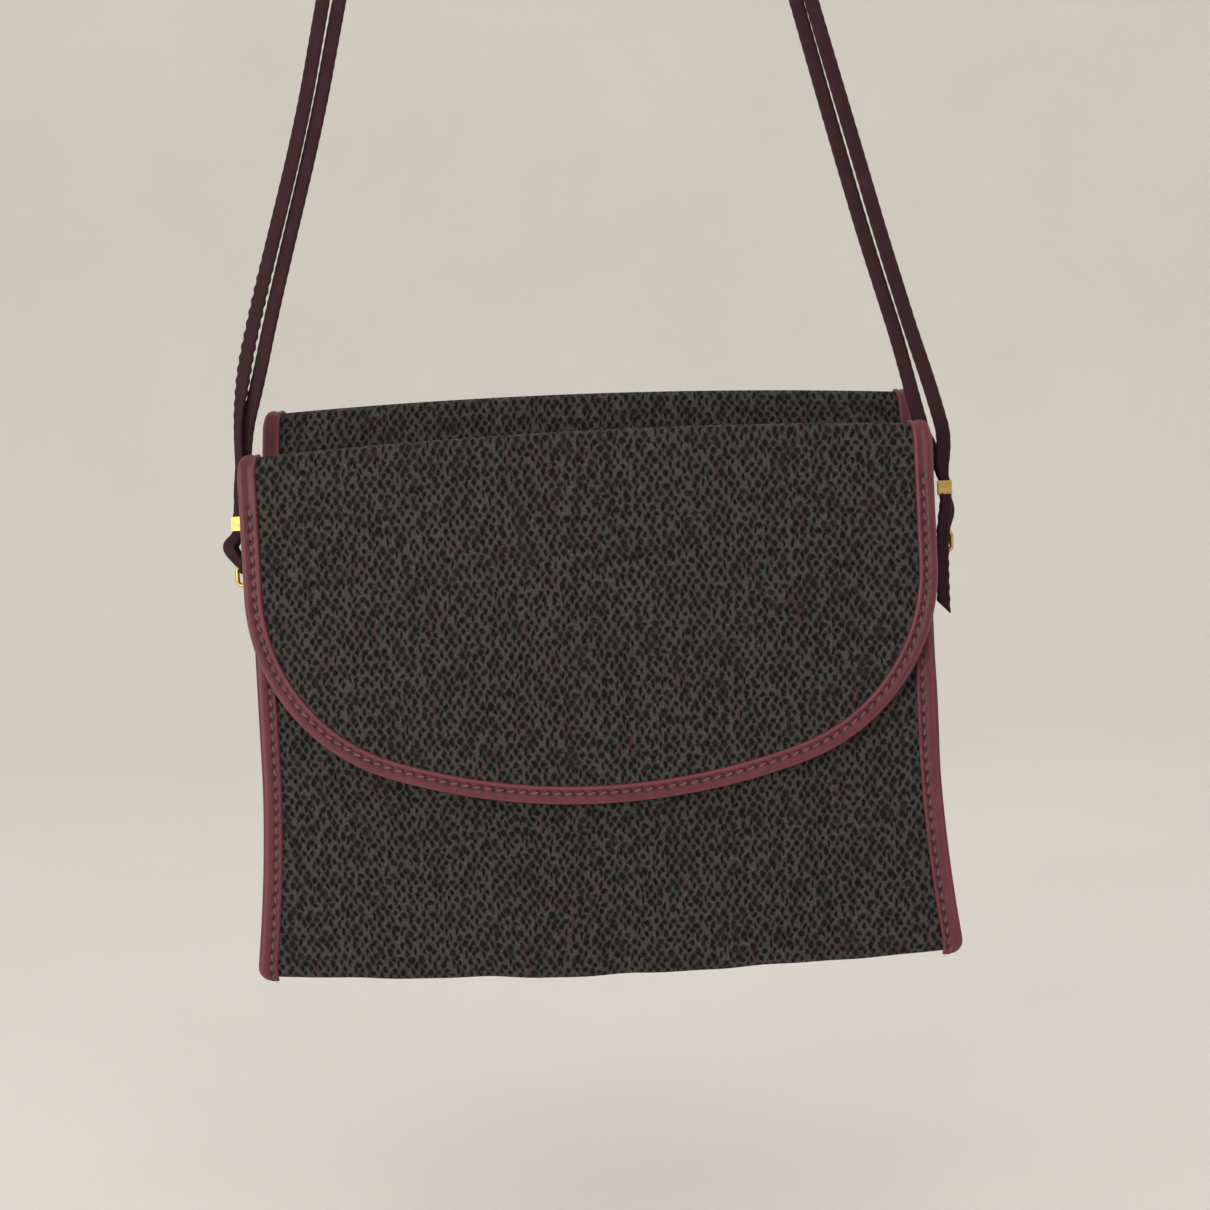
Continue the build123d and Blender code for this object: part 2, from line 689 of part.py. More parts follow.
def make_pull():
    """The pull hangs from the slider's pin by its rolled eye."""
    with BuildPart() as pull:
        with BuildSketch(Plane.YZ.offset(SLIDER_X - PULL_W / 2)):
            with Locations((PIN_Y, ZIP_Z)):
                Circle(PIN_R + EYE_WALL)
            with Locations((PIN_Y - PULL_DROP_Y, ZIP_Z - PULL_L / 2)):
                Rectangle(PULL_T, PULL_L)
            with Locations((PIN_Y, ZIP_Z)):
                Circle(PIN_R + EYE_GAP, mode=Mode.SUBTRACT)
        extrude(amount=PULL_W)
    save(pull, "zip_pull")


# ---------------------------------------------------------------- the whole bag
os.makedirs("parts", exist_ok=True)

make_front_panel()
make_back_panel()
for word, side in SIDES.items():
    make_gusset(f"gusset_{word}", side, inset=0, depth=INNER_Y)
    make_gusset(f"gusset_lining_{word}", side, inset=CANVAS, depth=LINED_Y)
    make_seam_binding(f"front_binding_{word}", side, front=True)
    make_seam_binding(f"back_binding_{word}", side, front=False)
make_wall_lining("front_lining", MOUTH_Z - LINING_DROP, -LINED_Y)
make_wall_lining("back_lining", BACK_TOP_Z, INNER_Y)
UNDER_BOARD = -CANVAS - BOARD
make_base_layer("base_panel", 0, -CANVAS, BASE_PANEL_HALF, INNER_Y)
make_base_layer("base_board", -CANVAS - LAYER_GAP, UNDER_BOARD, BASE_BOARD_HALF, INNER_Y - BOARD_INSET)
lining_depth = INNER_Y - BASE_LINING_INSET
make_base_layer("base_lining", UNDER_BOARD - LAYER_GAP, UNDER_BOARD - LINING, BASE_LINING_HALF, lining_depth)
make_mouth_binding()

make_bent_sheet("flap_fold_rear", rear_fold_line, 0, SHEET, FLAP_SHEET_HALF)
make_bent_sheet("flap_fold_front", front_fold_line, 0, SHEET, FLAP_SHEET_HALF)
make_bent_sheet("flap_top", valley_line, LINING / 2, CANVAS, FLAP_SHEET_HALF)
make_bent_sheet("flap_top_lining", valley_line, -CANVAS / 2, LINING, FLAP_SHEET_HALF)
make_bent_binding("fold_binding_rear", rear_fold_line)
make_bent_binding("fold_binding_front", front_fold_line)
make_bent_binding("flap_top_binding", valley_line)
make_flap_sheet("flap_front", FLAP_Y - SHEET / 2 + CANVAS, CANVAS)
make_flap_sheet("flap_lining", FLAP_Y + SHEET / 2, LINING)
make_flap_binding()

make_strand("strap_strand_front", front=True)
make_strand("strap_strand_rear", front=False)
make_tail()
for word, side in SIDES.items():
    make_loop(f"strap_loop_{word}", side, LOOP_BULGES[word])
    make_keeper(f"keeper_{word}", side)
    make_ring(f"ring_{word}", side)
    make_tab(f"tab_{word}", side)
make_rivets()
make_snap()

POCKET_Z = (POCKET_TOP_Z + POCKET_BOTTOM_Z) / 2
make_slab("pocket_panel", POCKET_Z, POCKET_HALF, POCKET_TOP_Z - POCKET_BOTTOM_Z, LINED_Y, LINING)
make_slab("zip_tape", ZIP_Z, POCKET_HALF, TAPE_H, LINED_Y, LINING)
make_slab("zip_teeth", ZIP_Z, TEETH_HALF, TEETH_H, LINED_Y - LINING, TEETH_T)
make_slider()
make_pull()
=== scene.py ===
import bpy
import math
import numpy as np
from mathutils import Matrix, Vector


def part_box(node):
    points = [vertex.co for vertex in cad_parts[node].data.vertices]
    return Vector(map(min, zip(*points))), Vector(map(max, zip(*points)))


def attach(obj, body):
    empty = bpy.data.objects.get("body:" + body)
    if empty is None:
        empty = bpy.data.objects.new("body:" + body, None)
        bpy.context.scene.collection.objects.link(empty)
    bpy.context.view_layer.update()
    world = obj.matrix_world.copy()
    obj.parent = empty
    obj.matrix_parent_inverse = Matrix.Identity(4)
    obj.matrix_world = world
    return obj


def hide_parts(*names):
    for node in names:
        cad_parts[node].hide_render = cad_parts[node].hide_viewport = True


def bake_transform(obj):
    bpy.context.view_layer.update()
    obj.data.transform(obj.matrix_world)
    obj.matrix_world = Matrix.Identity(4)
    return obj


# The looks of a small flap shoulder bag: coarse woven canvas, burgundy leather edges and a thin
# doubled leather strap. Shapes are worked out in millimetres in the CAD model's frame and turned
# into metres when a mesh is made.
MM = 0.001

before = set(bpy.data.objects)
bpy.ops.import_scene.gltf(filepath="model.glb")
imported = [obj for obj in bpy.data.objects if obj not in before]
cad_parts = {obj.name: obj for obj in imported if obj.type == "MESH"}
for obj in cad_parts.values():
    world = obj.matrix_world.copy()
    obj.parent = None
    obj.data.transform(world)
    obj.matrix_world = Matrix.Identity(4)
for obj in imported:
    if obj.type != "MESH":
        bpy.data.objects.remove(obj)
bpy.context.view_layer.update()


def box(node):
    """Lowest and highest corner of a CAD node, in millimetres."""
    low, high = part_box(node)
    return np.array(low) / MM, np.array(high) / MM


# ---------------- sizes, from the CAD frame
CANVAS = 1.6
LINING = 0.6
SHEET = CANVAS + LINING
LEATHER = 1.0
BOARD = 1.5
BINDING_W = 7.0
STITCH = 4.4                # one stitch and its gap
GROOVE = 4.1                # the stitches run this far in from a bound edge

panel_low, panel_high = box("front_panel")
FRONT_Y = panel_low[1]
BACK_Y = -FRONT_Y
MOUTH_Z = panel_high[2]
BASE_HALF = panel_high[0]
BASE_MID_Z = panel_low[2]
BODY_HALF = BASE_HALF - 5.5
FLARE_Z = MOUTH_Z - 118     # below this the body widens towards its base
FLARE_START = 0.31          # how much of the widening is a straight slope
CORNER_R = 5.0
SAG = 5.0                   # the base hangs this much lower in the middle
BASE_END_Z = BASE_MID_Z + SAG
CORNER_Z = BASE_END_Z + CORNER_R
MOUTH_BINDING_HALF = BASE_HALF - 13
EDGE_R = 4.0                # between the front or back and the base
SEAM_R = 1.6                # between the front or back and a gusset
GUSSET_BULGE = 3.5

FLAP_HALF = box("flap_binding")[1][0]
FLAP_LOW_Z = box("flap_binding")[0][2]
REAR_FOLD_R = 2.5
FRONT_FOLD_R = 2.9
rear_low, rear_high = box("flap_fold_rear")
REAR_AXIS = rear_high[1:] - REAR_FOLD_R - SHEET / 2
BACK_TOP_Z = rear_low[2]
front_low, front_high = box("flap_fold_front")
FRONT_AXIS = np.array([front_low[1] + FRONT_FOLD_R + SHEET / 2, front_high[2] - FRONT_FOLD_R - SHEET / 2])
FLAP_TOP_Z = front_high[2]
FLAP_SIDE = 52.0
FLAP_CORNER_R = 75.0
VALLEY_R = 9.0
REAR_TURN = 160.0           # degrees the canvas turns over the rear ridge
FRONT_TURN = 120.0
HANGING_LENGTH = 170.0      # a little more than the flap's hanging part

# The strap hangs over a round peg; its legs run down to the keepers and end in loops.
KEEPER_X = 137.4
KEEPER_Z = -540.0
KEEPER_H = 5.5
PEG_R = 8.0
STRAND_W = 5.0
STRAND_T = 2.0
STRAND_KEPT_W = 4.2         # the strands are squeezed to this width in the keepers
RING_WIRE_R = 0.85
ring_low, ring_high = box("ring_right")
LOOP_X = (ring_low[0] + ring_high[0]) / 2 + 0.8     # the loop hangs on the outer half of the ring's top
BULGE_Z = -549.0            # the height at which the end loops bulge most
RING_TOP_Z = ring_high[2] - RING_WIRE_R

SIDES = {"left": -1, "right": 1}


# ---------------- materials
class Graph:
    """Writes the nodes of one material."""

    def __init__(self, name):
        self.material = bpy.data.materials.new(name)
        self.material.use_nodes = True
        self.tree = self.material.node_tree
        self.shader = self.tree.nodes["Principled BSDF"]

    def node(self, kind, **settings):
        made = self.tree.nodes.new("ShaderNode" + kind)
        for key, value in settings.items():
            setattr(made, key, value)
        return made

    def feed(self, socket, value):
        if isinstance(value, bpy.types.NodeSocket):
            self.tree.links.new(value, socket)
        else:
            socket.default_value = value

    def math(self, operation, *values, clamp=False):
        made = self.node("Math", operation=operation, use_clamp=clamp)
        for socket, value in zip(made.inputs, values):
            self.feed(socket, value)
        return made.outputs[0]

    def place(self, attribute="place"):
        """Where a point lies on its piece at rest, in millimetres."""
        return self.node("Attribute", attribute_name=attribute).outputs["Vector"]

    def object_place(self):
        scaled = self.node("VectorMath", operation="SCALE")
        self.feed(scaled.inputs[0], self.node("TexCoord").outputs["Object"])
        scaled.inputs["Scale"].default_value = 1 / MM
        return scaled.outputs[0]

    def split(self, vector):
        made = self.node("SeparateXYZ")
        self.feed(made.inputs[0], vector)
        return made.outputs

    def join(self, x, y, z=0.0):
        made = self.node("CombineXYZ")
        for socket, value in zip(made.inputs, (x, y, z)):
            self.feed(socket, value)
        return made.outputs[0]

    def noise(self, vector, scale, detail=2.0, roughness=0.5):
        made = self.node("TexNoise")
        self.feed(made.inputs["Vector"], vector)
        made.inputs["Scale"].default_value = scale
        made.inputs["Detail"].default_value = detail
        made.inputs["Roughness"].default_value = roughness
        return made.outputs["Fac"]

    def random(self, vector):
        made = self.node("TexWhiteNoise", noise_dimensions="3D")
        self.feed(made.inputs["Vector"], vector)
        return made.outputs["Value"]

    def step(self, value, start, end):
        """A smooth step from 0 at start to 1 at end."""
        made = self.node("MapRange", interpolation_type="SMOOTHSTEP")
        self.feed(made.inputs["Value"], value)
        made.inputs["From Min"].default_value = start
        made.inputs["From Max"].default_value = end
        return made.outputs["Result"]

    def mix(self, share, first, second):
        made = self.node("Mix", data_type="RGBA")
        self.feed(made.inputs["Factor"], share)
        colours = [s for s in made.inputs if s.type == "RGBA"]
        for socket, value in zip(colours, (first, second)):
            self.feed(socket, value if isinstance(value, bpy.types.NodeSocket) else (*value, 1.0))
        return [s for s in made.outputs if s.type == "RGBA"][0]

    def bump(self, height, depth, strength=1.0):
        """Bump whose height of 1 stands for a depth in millimetres."""
        made = self.node("Bump")
        made.inputs["Strength"].default_value = strength
        made.inputs["Distance"].default_value = depth * MM
        self.feed(made.inputs["Height"], height)
        self.feed(self.shader.inputs["Normal"], made.outputs["Normal"])

    def finish(self, colour, roughness, **constants):
        self.feed(self.shader.inputs["Base Color"], colour)
        self.feed(self.shader.inputs["Roughness"], roughness)
        for key, value in constants.items():
            self.shader.inputs[key.replace("_", " ")].default_value = value
        return self.material


def slot_lattice(g, u, v, pitch, shift, seed):
    """Distance from the nearest slot of one lattice of upright slots, and that slot's own chance."""
    column = g.math("ADD", g.math("DIVIDE", u, pitch[0]), shift)
    row = g.math("ADD", g.math("DIVIDE", v, pitch[1]), shift)
    chance = g.random(g.join(g.math("FLOOR", column), g.math("FLOOR", row), seed))
    other = g.random(g.join(g.math("FLOOR", row), g.math("FLOOR", column), seed + 0.5))
    dx = g.math("SUBTRACT", g.math("FRACT", column), g.math("MULTIPLY_ADD", other, 0.24, 0.38))
    dy = g.math("SUBTRACT", g.math("FRACT", row), g.math("MULTIPLY_ADD", chance, 0.20, 0.40))
    dx = g.math("DIVIDE", g.math("MULTIPLY", dx, pitch[0]), g.math("MULTIPLY_ADD", chance, 0.42, 0.39))
    dy = g.math("DIVIDE", g.math("MULTIPLY", dy, pitch[1]), g.math("MULTIPLY_ADD", other, 0.55, 0.68))
    return g.math("SQRT", g.math("ADD", g.math("MULTIPLY", dx, dx), g.math("MULTIPLY", dy, dy))), chance


def canvas_material():
    """Coarse canvas: grey yarns round dark slots set like bricks, a few burgundy yarns."""
    pitch = (3.4, 4.9)
    g = Graph("woven_canvas")
    place = g.place()
    u, v, _ = g.split(place)
    u = g.math("ADD", u, g.math("MULTIPLY", g.noise(place, 0.3, 2.0), 2.8))
    v = g.math("ADD", v, g.math("MULTIPLY", g.noise(g.join(v, u), 0.25, 2.0), 2.6))
    even, chance_even = slot_lattice(g, u, v, pitch, 0.0, 1.0)
    odd, chance_odd = slot_lattice(g, u, v, pitch, 0.5, 2.0)
    away = g.math("SMOOTH_MIN", even, odd, 0.3)
    chance = g.math("MULTIPLY", chance_even, chance_odd)
    yarn = g.step(away, 0.72, 1.6)
    knot = g.step(away, 1.3, 2.2)
    fibre = g.noise(g.join(g.math("MULTIPLY", u, 1.6), g.math("MULTIPLY", v, 1.3)), 1.0, 3.0, 0.75)
    patch = g.noise(place, 0.04, 2.0)
    across = g.math("FLOOR", g.math("DIVIDE", u, pitch[0] / 2))
    down = g.math("FLOOR", g.math("DIVIDE", v, pitch[1] * 0.7))
    yarn_cell = g.join(across, down)
    luck = g.math("ADD", g.random(yarn_cell), g.math("MULTIPLY", g.math("SUBTRACT", patch, 0.5), 0.3))
    burgundy = g.math("MULTIPLY", g.step(luck, 0.86, 1.0), 0.5)
    grey = g.mix(g.noise(place, 0.14, 2.0), (0.019, 0.021, 0.018), (0.033, 0.028, 0.026))
    # lighter where the yarns cross: a painted highlight on the raised crossings
    grey = g.mix(g.math("MULTIPLY", knot, 0.75), grey, (0.064, 0.062, 0.056))
    yarns = g.mix(burgundy, grey, (0.060, 0.018, 0.024))
    slot = g.mix(g.step(chance, 0.3, 0.8), (0.0040, 0.0042, 0.0036), (0.0150, 0.0115, 0.0105))
    colour = g.mix(yarn, slot, yarns)
    shaded = g.node("VectorMath", operation="SCALE")
    g.feed(shaded.inputs[0], colour)
    g.feed(shaded.inputs["Scale"], g.math("MULTIPLY_ADD", fibre, 2.6, -0.32))
    height = g.math("ADD", g.math("MULTIPLY", yarn, 0.8), g.math("MULTIPLY", knot, 0.3))
    g.bump(g.math("ADD", height, g.math("MULTIPLY", fibre, 0.4)), 0.6)
    return g.finish(shaded.outputs[0], 0.88, Sheen_Weight=0.04, Specular_IOR_Level=0.15)


def leather_material(name, deep, light, rough, coat, shine=0.3):
    """Smooth leather with fine grain, cloudy colour, a painted highlight along its high rims and painted
    shade in its needle holes.
    """
    g = Graph(name)
    place = g.place()
    grain = g.noise(place, 2.4, 3.0, 0.6)
    cells = g.node("TexVoronoi", feature="DISTANCE_TO_EDGE")
    g.feed(cells.inputs["Vector"], place)
    cells.inputs["Scale"].default_value = 1.5
    creases = g.step(cells.outputs["Distance"], 0.0, 0.14)
    cloud = g.noise(place, 0.11, 3.0, 0.6)
    # painted light for each point: lighter on the rims as painted highlight, darker in the needle holes as
    # painted shade
    painted_light = g.node("Attribute", attribute_name="painted_light").outputs["Fac"]
    share = g.math("ADD", g.math("MULTIPLY_ADD", cloud, 0.5, -0.25), painted_light, clamp=True)
    colour = g.mix(share, deep, light)
    # a paler colour on the brightest rims: painted highlight
    painted_highlight = tuple(0.5 * c + 0.5 * max(light) for c in light)
    colour = g.mix(g.math("MULTIPLY", g.step(painted_light, 0.6, 0.95), 0.5), colour, painted_highlight)
    g.bump(g.math("ADD", g.math("MULTIPLY", creases, 0.5), g.math("MULTIPLY", grain, 0.8)), 0.07)
    roughness = g.math("MULTIPLY_ADD", grain, 0.22, rough)
    return g.finish(colour, roughness, Coat_Weight=coat, Coat_Roughness=0.25, Specular_IOR_Level=shine)


def cad_leather_material(name, deep, light):
    """Leather for CAD nodes, which carry no place or painted light of their own."""
    g = Graph(name)
    place = g.object_place()
    grain = g.noise(place, 2.4, 3.0, 0.6)
    g.bump(grain, 0.07)
    return g.finish(g.mix(g.noise(place, 0.15, 3.0), deep, light), g.math("MULTIPLY_ADD", grain, 0.2, 0.35))


def metal_material():
    """Polished brass plating with fine scratches and a little tarnish."""
    g = Graph("gold_metal")
    place = g.object_place()
    tarnish = g.noise(place, 0.35, 4.0, 0.65)
    scratches = g.noise(g.join(g.split(place)[0], g.math("MULTIPLY", g.split(place)[2], 9.0)), 1.2, 3.0)
    colour = g.mix(g.step(tarnish, 0.35, 0.75), (0.74, 0.50, 0.17), (0.50, 0.31, 0.10))
    g.bump(scratches, 0.02)
    return g.finish(colour, g.math("MULTIPLY_ADD", tarnish, 0.22, 0.26), Metallic=1.0)


def twill_material(name, deep, light, pitch):
    """Thin twill: fine slanting ribs with small flecks."""
    g = Graph(name)
    place = g.place()
    u, v, _ = g.split(place)
    slant = g.math("DIVIDE", g.math("ADD", u, v), pitch)
    rib = g.math("ABSOLUTE", g.math("SUBTRACT", g.math("FRACT", slant), 0.5))
    weft = g.math("ABSOLUTE", g.math("SUBTRACT", g.math("FRACT", g.math("DIVIDE", v, pitch * 0.7)), 0.5))
    thread = g.math("ADD", rib, g.math("MULTIPLY", weft, 0.5))
    cloud = g.noise(place, 0.08, 3.0)
    share = g.math("ADD", g.math("MULTIPLY", thread, 0.6), g.math("MULTIPLY", cloud, 0.5), clamp=True)
    g.bump(thread, 0.12)
    return g.finish(g.mix(share, deep, light), 0.72, Sheen_Weight=0.15)


def board_material():
    """Grey board with pulp flecks."""
    g = Graph("base_board")
    place = g.place()
    fleck = g.step(g.noise(place, 1.3, 4.0, 0.7), 0.5, 0.72)
    g.bump(g.noise(place, 0.8, 4.0), 0.1)
    return g.finish(g.mix(fleck, (0.35, 0.30, 0.24), (0.22, 0.18, 0.14)), 0.9)


def wall_material():
    """The pale, matt floor that curves up all round."""
    g = Graph("pale_floor")
    place = g.object_place()
    tone = g.noise(place, 0.004, 3.0)
    g.bump(g.noise(place, 0.25, 3.0), 0.15)
    return g.finish(g.mix(tone, (0.76, 0.74, 0.70), (0.82, 0.80, 0.76)), 0.85)


# ---------------- meshes
def new_piece(name, points, faces, material, place=None, painted_light=None):
    """A smooth mesh from points in millimetres, with each point's place on the material."""
    mesh = bpy.data.meshes.new(name)
    points = np.asarray(points, float).reshape(-1, 3)
    mesh.from_pydata((points * MM).tolist(), [], faces)
    mesh.shade_smooth()
    mesh.set_sharp_from_angle(angle=math.radians(52))
    mesh.materials.append(material)
    where = mesh.attributes.new("place", "FLOAT_VECTOR", "POINT")
    where.data.foreach_set("vector", np.asarray(points if place is None else place, np.float32).ravel())
    # painted highlight and painted shade for each point, kept as an attribute for the leather
    if painted_light is not None:
        painted_light_attribute = mesh.attributes.new("painted_light", "FLOAT", "POINT")
        painted_light_attribute.data.foreach_set("value", np.asarray(painted_light, np.float32).ravel())
    piece = bpy.data.objects.new(name, mesh)
    bpy.context.scene.collection.objects.link(piece)
    return piece


def grid_faces(rows, cols, closed=False):
    """The quads of a grid of points; closed joins its last column to its first."""
    return [
        (r * cols + c, r * cols + (c + 1) % cols, (r + 1) * cols + (c + 1) % cols, (r + 1) * cols + c)
        for r in range(rows - 1)
        for c in range(cols if closed else cols - 1)
    ]


def grid_normals(points):
    """The direction away from a grid's face at each of its points."""
    normal = np.cross(np.gradient(points, axis=1), np.gradient(points, axis=0))
    return normal / np.linalg.norm(normal, axis=2, keepdims=True)


def slab(name, outer, inner, place, material):
    """A closed sheet between two grids of points."""
    rows, cols = outer.shape[:2]
    count = rows * cols
    front = grid_faces(rows, cols)
    back = [tuple(count + i for i in reversed(face)) for face in front]
    rim = [c for c in range(cols)]
    rim += [r * cols + cols - 1 for r in range(1, rows)]
    rim += [(rows - 1) * cols + c for c in range(cols - 2, -1, -1)]
    rim += [r * cols for r in range(rows - 2, 0, -1)]
    sides = [(a, count + a, count + b, b) for a, b in zip(rim, rim[1:] + rim[:1])]
    points = np.concatenate([outer.reshape(-1, 3), inner.reshape(-1, 3)])
    places = np.concatenate([place.reshape(-1, 3)] * 2)
    return new_piece(name, points, front + back + sides, material, places)


def tube(name, sections, material, place=None, painted_light=None):
    """A closed skin over a row of sections, with a cap on both ends."""
    rows, cols = sections.shape[:2]
    faces = grid_faces(rows, cols, closed=True)
    faces.append(tuple(reversed(range(cols))))
    faces.append(tuple(range((rows - 1) * cols, rows * cols)))
    return new_piece(name, sections, faces, material, place, painted_light)


def rise(value, start, end):
    """A smooth step from 0 at start to 1 at end."""
    part = np.clip((value - start) / (end - start), 0, 1)
    return part * part * (3 - 2 * part)


def resample(points, step):
    """Evenly spaced points along a line, their directions, and how far along they are."""
    points = np.asarray(points, float)
    lengths = np.concatenate([[0], np.cumsum(np.linalg.norm(np.diff(points, axis=0), axis=1))])
    count = max(2, round(lengths[-1] / step) + 1)
    along = np.linspace(0, lengths[-1], count)
    even = np.stack([np.interp(along, lengths, column) for column in points.T], axis=1)
    direction = np.gradient(even, axis=0)
    return even, direction / np.linalg.norm(direction, axis=1, keepdims=True), along


def dimple(inset, along):
    """How far the leather is drawn in round a row of slanting needle holes, from 0 to 1."""
    beside = inset - GROOVE
    turn = 2 * math.pi * (along[:, None] + 0.8 * beside[None, :]) / STITCH
    return np.exp(-((beside / 0.85) ** 2))[None, :] * (0.5 + 0.5 * np.cos(turn)) ** 2


def edge_band(line, profile, inward, plain=None):
    """A leather edge in flat coordinates: its profile carried along a line, drawn in at each stitch.

    The profile's points are (distance inward from the line, height off the sheet's middle).
    Where plain is 1 no stitches show.
    """
    even, direction, along = resample(line, STITCH / 8)
    normal = inward * np.stack([-direction[:, 1], direction[:, 0]], axis=1)
    profile = np.asarray(profile, float)
    drawn = dimple(profile[:, 0], along) * (profile[None, :, 1] > 0.4)
    if plain is not None:
        drawn = drawn * (1 - plain(even))[:, None]
    flat = np.empty((len(along), len(profile), 3))
    flat[:, :, :2] = even[:, None, :] + normal[:, None, :] * profile[None, :, :1]
    flat[:, :, 2] = profile[None, :, 1] - 0.5 * drawn
    # the second result is painted light: painted highlight on the rims, painted shade in the needle holes
    return flat, tone(profile, drawn)


def tone(profile, drawn):
    """How light the leather is: a painted highlight along its high rims, painted shade in the needle holes.
    """
    rim = np.exp(-(((profile[:, 0] - 0.5) / 0.6) ** 2)) + np.exp(-(((profile[:, 0] - 6.3) / 0.5) ** 2))
    return np.clip(0.5 + 0.3 * rim[None, :] * (profile[None, :, 1] > 0.3) - 0.85 * drawn, 0, 1)


def stitch_row(line, inset, height, inward, plain=None, length=2.8, radius=0.42, slant=0.25):
    """Thread stitches in flat coordinates: a row of small spindles along a line."""
    even, direction, along = resample(line, STITCH / 8)
    normal = inward * np.stack([-direction[:, 1], direction[:, 0]], axis=1)
    centers = np.arange(STITCH / 2, along[-1], STITCH)
    pick = np.searchsorted(along, centers)
    around = np.linspace(0, 2 * math.pi, 7)[:-1]
    stretch = np.linspace(-1, 1, 7)
    girth = np.sqrt(np.clip(1.04 - stretch**2, 0, None))
    spindles = []
    for index in pick:
        if plain is not None and plain(even[index]) > 0.5:
            continue
        middle = even[index] + normal[index] * inset
        heading = direction[index] + normal[index] * slant
        spindle = np.empty((len(stretch), len(around), 3))
        spindle[:, :, :2] = (
            middle
            + heading * (stretch * length / 2)[:, None, None]
            + normal[index] * (girth[:, None] * np.cos(around)[None, :] * radius)[:, :, None]
        )
        spindle[:, :, 2] = height + girth[:, None] * np.sin(around)[None, :] * radius
        spindles.append(spindle)
    return spindles


def stitches(name, spindles, shape, material):
    """One mesh of many thread spindles, put in place by a function of flat coordinates."""
    points, faces = [], []
    for number, spindle in enumerate(spindles):
        rows, cols = spindle.shape[:2]
        first = number * rows * cols
        points.append(shape(spindle).reshape(-1, 3))
        own = grid_faces(rows, cols, closed=True)
        own += [tuple(reversed(range(cols))), tuple(range((rows - 1) * cols, rows * cols))]
        faces += [tuple(first + i for i in face) for face in own]
    return new_piece(name, np.concatenate(points), faces, material)


# ---------------- the flap's bent surface
COURSE_POINTS = 12000


def heading_vector(angle):
    return np.array([math.cos(angle), math.sin(angle)])


def flap_course():
    """The flap's course in the YZ plane, from the back panel's top over both folds and down.

    Returns lengths, y, z, heading and the lengths at which each leg or bend ends. The heading turns
    left over a fold and right in the valley.
    """
    down = math.radians(90 + REAR_TURN)
    up = math.radians(270 - FRONT_TURN)
    dip = math.degrees(down - up)
    start = np.array([REAR_AXIS[0] + REAR_FOLD_R, BACK_TOP_Z])
    rear_end = REAR_AXIS + REAR_FOLD_R * heading_vector(down - math.pi / 2)
    front_start = FRONT_AXIS + FRONT_FOLD_R * heading_vector(up - math.pi / 2)
    first = heading_vector(down)
    second = heading_vector(up)
    reach = np.linalg.solve(np.stack([first, second], axis=1), front_start - rear_end)
    cut = VALLEY_R * math.tan(math.radians(dip) / 2)
    legs = [
        (REAR_AXIS[1] - BACK_TOP_Z, 0),
        (REAR_FOLD_R * math.radians(REAR_TURN), math.radians(REAR_TURN)),
        (reach[0] - cut, 0),
        (VALLEY_R * math.radians(dip), -math.radians(dip)),
        (reach[1] - cut, 0),
        (FRONT_FOLD_R * math.radians(FRONT_TURN), math.radians(FRONT_TURN)),
        (HANGING_LENGTH, 0),
    ]
    ends = np.cumsum([0] + [length for length, _ in legs])
    turned = np.cumsum([math.pi / 2] + [turn for _, turn in legs])
    length = np.linspace(0, ends[-1], COURSE_POINTS)
    heading = np.interp(length, ends, turned)
    step = length[1]
    y = start[0] + np.concatenate([[0], np.cumsum(np.cos((heading[1:] + heading[:-1]) / 2)) * step])
    z = start[1] + np.concatenate([[0], np.cumsum(np.sin((heading[1:] + heading[:-1]) / 2)) * step])
    return length, y, z, heading, ends


COURSE = flap_course()
REAR_RIDGE_V = (COURSE[4][1] + COURSE[4][2]) / 2
VALLEY_V = (COURSE[4][3] + COURSE[4][4]) / 2
FRONT_RIDGE_V = COURSE[4][5] + FRONT_FOLD_R * math.radians(30)
HANGING_V = COURSE[4][6]    # from here the flap hangs straight down
RIDGE_BOW = 4.0             # the ridges stand this much higher in the middle of the bag
REAR_TILT = 2.3             # the rear ridge hangs a little lower at its right end
RIDGE_ROUND = 3.6           # the flap's edge draws in this far where it folds over a ridge
RIDGE_ROUND_REACH = 7.5     # and does so over this length on both sides of the ridge
PLAIN_REACH = 17.0          # no stitches show this far below the ridges


def ridge_round(v):
    """How far the flap's edge draws in near the ridges, which rounds their corners."""
    drawn = 0
    for ridge_v in (REAR_RIDGE_V, FRONT_RIDGE_V):
        near = np.clip(1 - np.abs(v - ridge_v) / RIDGE_ROUND_REACH, 0, 1)
        drawn = drawn + RIDGE_ROUND * (1 - np.sqrt(1 - near * near))
    return drawn


def flap_shape(flat):
    """Places in space of flat coordinates (x, distance along the flap, height off its middle)."""
    x, v, h = flat[..., 0], flat[..., 1], flat[..., 2]
    x = x - np.sign(x) * ridge_round(v) * rise(np.abs(x), FLAP_HALF - 15, FLAP_HALF)
    y = np.interp(v, COURSE[0], COURSE[1])
    z = np.interp(v, COURSE[0], COURSE[2])
    heading = np.interp(v, COURSE[0], COURSE[3])
    y = y + h * np.sin(heading)
    z = z - h * np.cos(heading)
    across = 1 - (x / FLAP_HALF) ** 2
    hanging = rise(v, HANGING_V, HANGING_V + 125)
    front = rise(v, VALLEY_V - 10, FRONT_RIDGE_V) * (1 - hanging)
    rear = rise(v, 0, REAR_RIDGE_V) * (1 - rise(v, REAR_RIDGE_V, VALLEY_V))
    z = z + RIDGE_BOW * across * (front + rear) - REAR_TILT * (x / FLAP_HALF) * rear
    billow = rise(v, HANGING_V, HANGING_V + 40) * across
    y = y - billow * (0.9 + 0.45 * np.sin(x / 31 + 1.0) * np.sin(v / 37) + 0.3 * np.sin(x / 17 - v / 23))
    return np.stack([x + 0 * y, y, z], axis=-1)


def flap_v(z):
    """Distance along the flap of a height on its hanging part."""
    return HANGING_V + FRONT_AXIS[1] - z


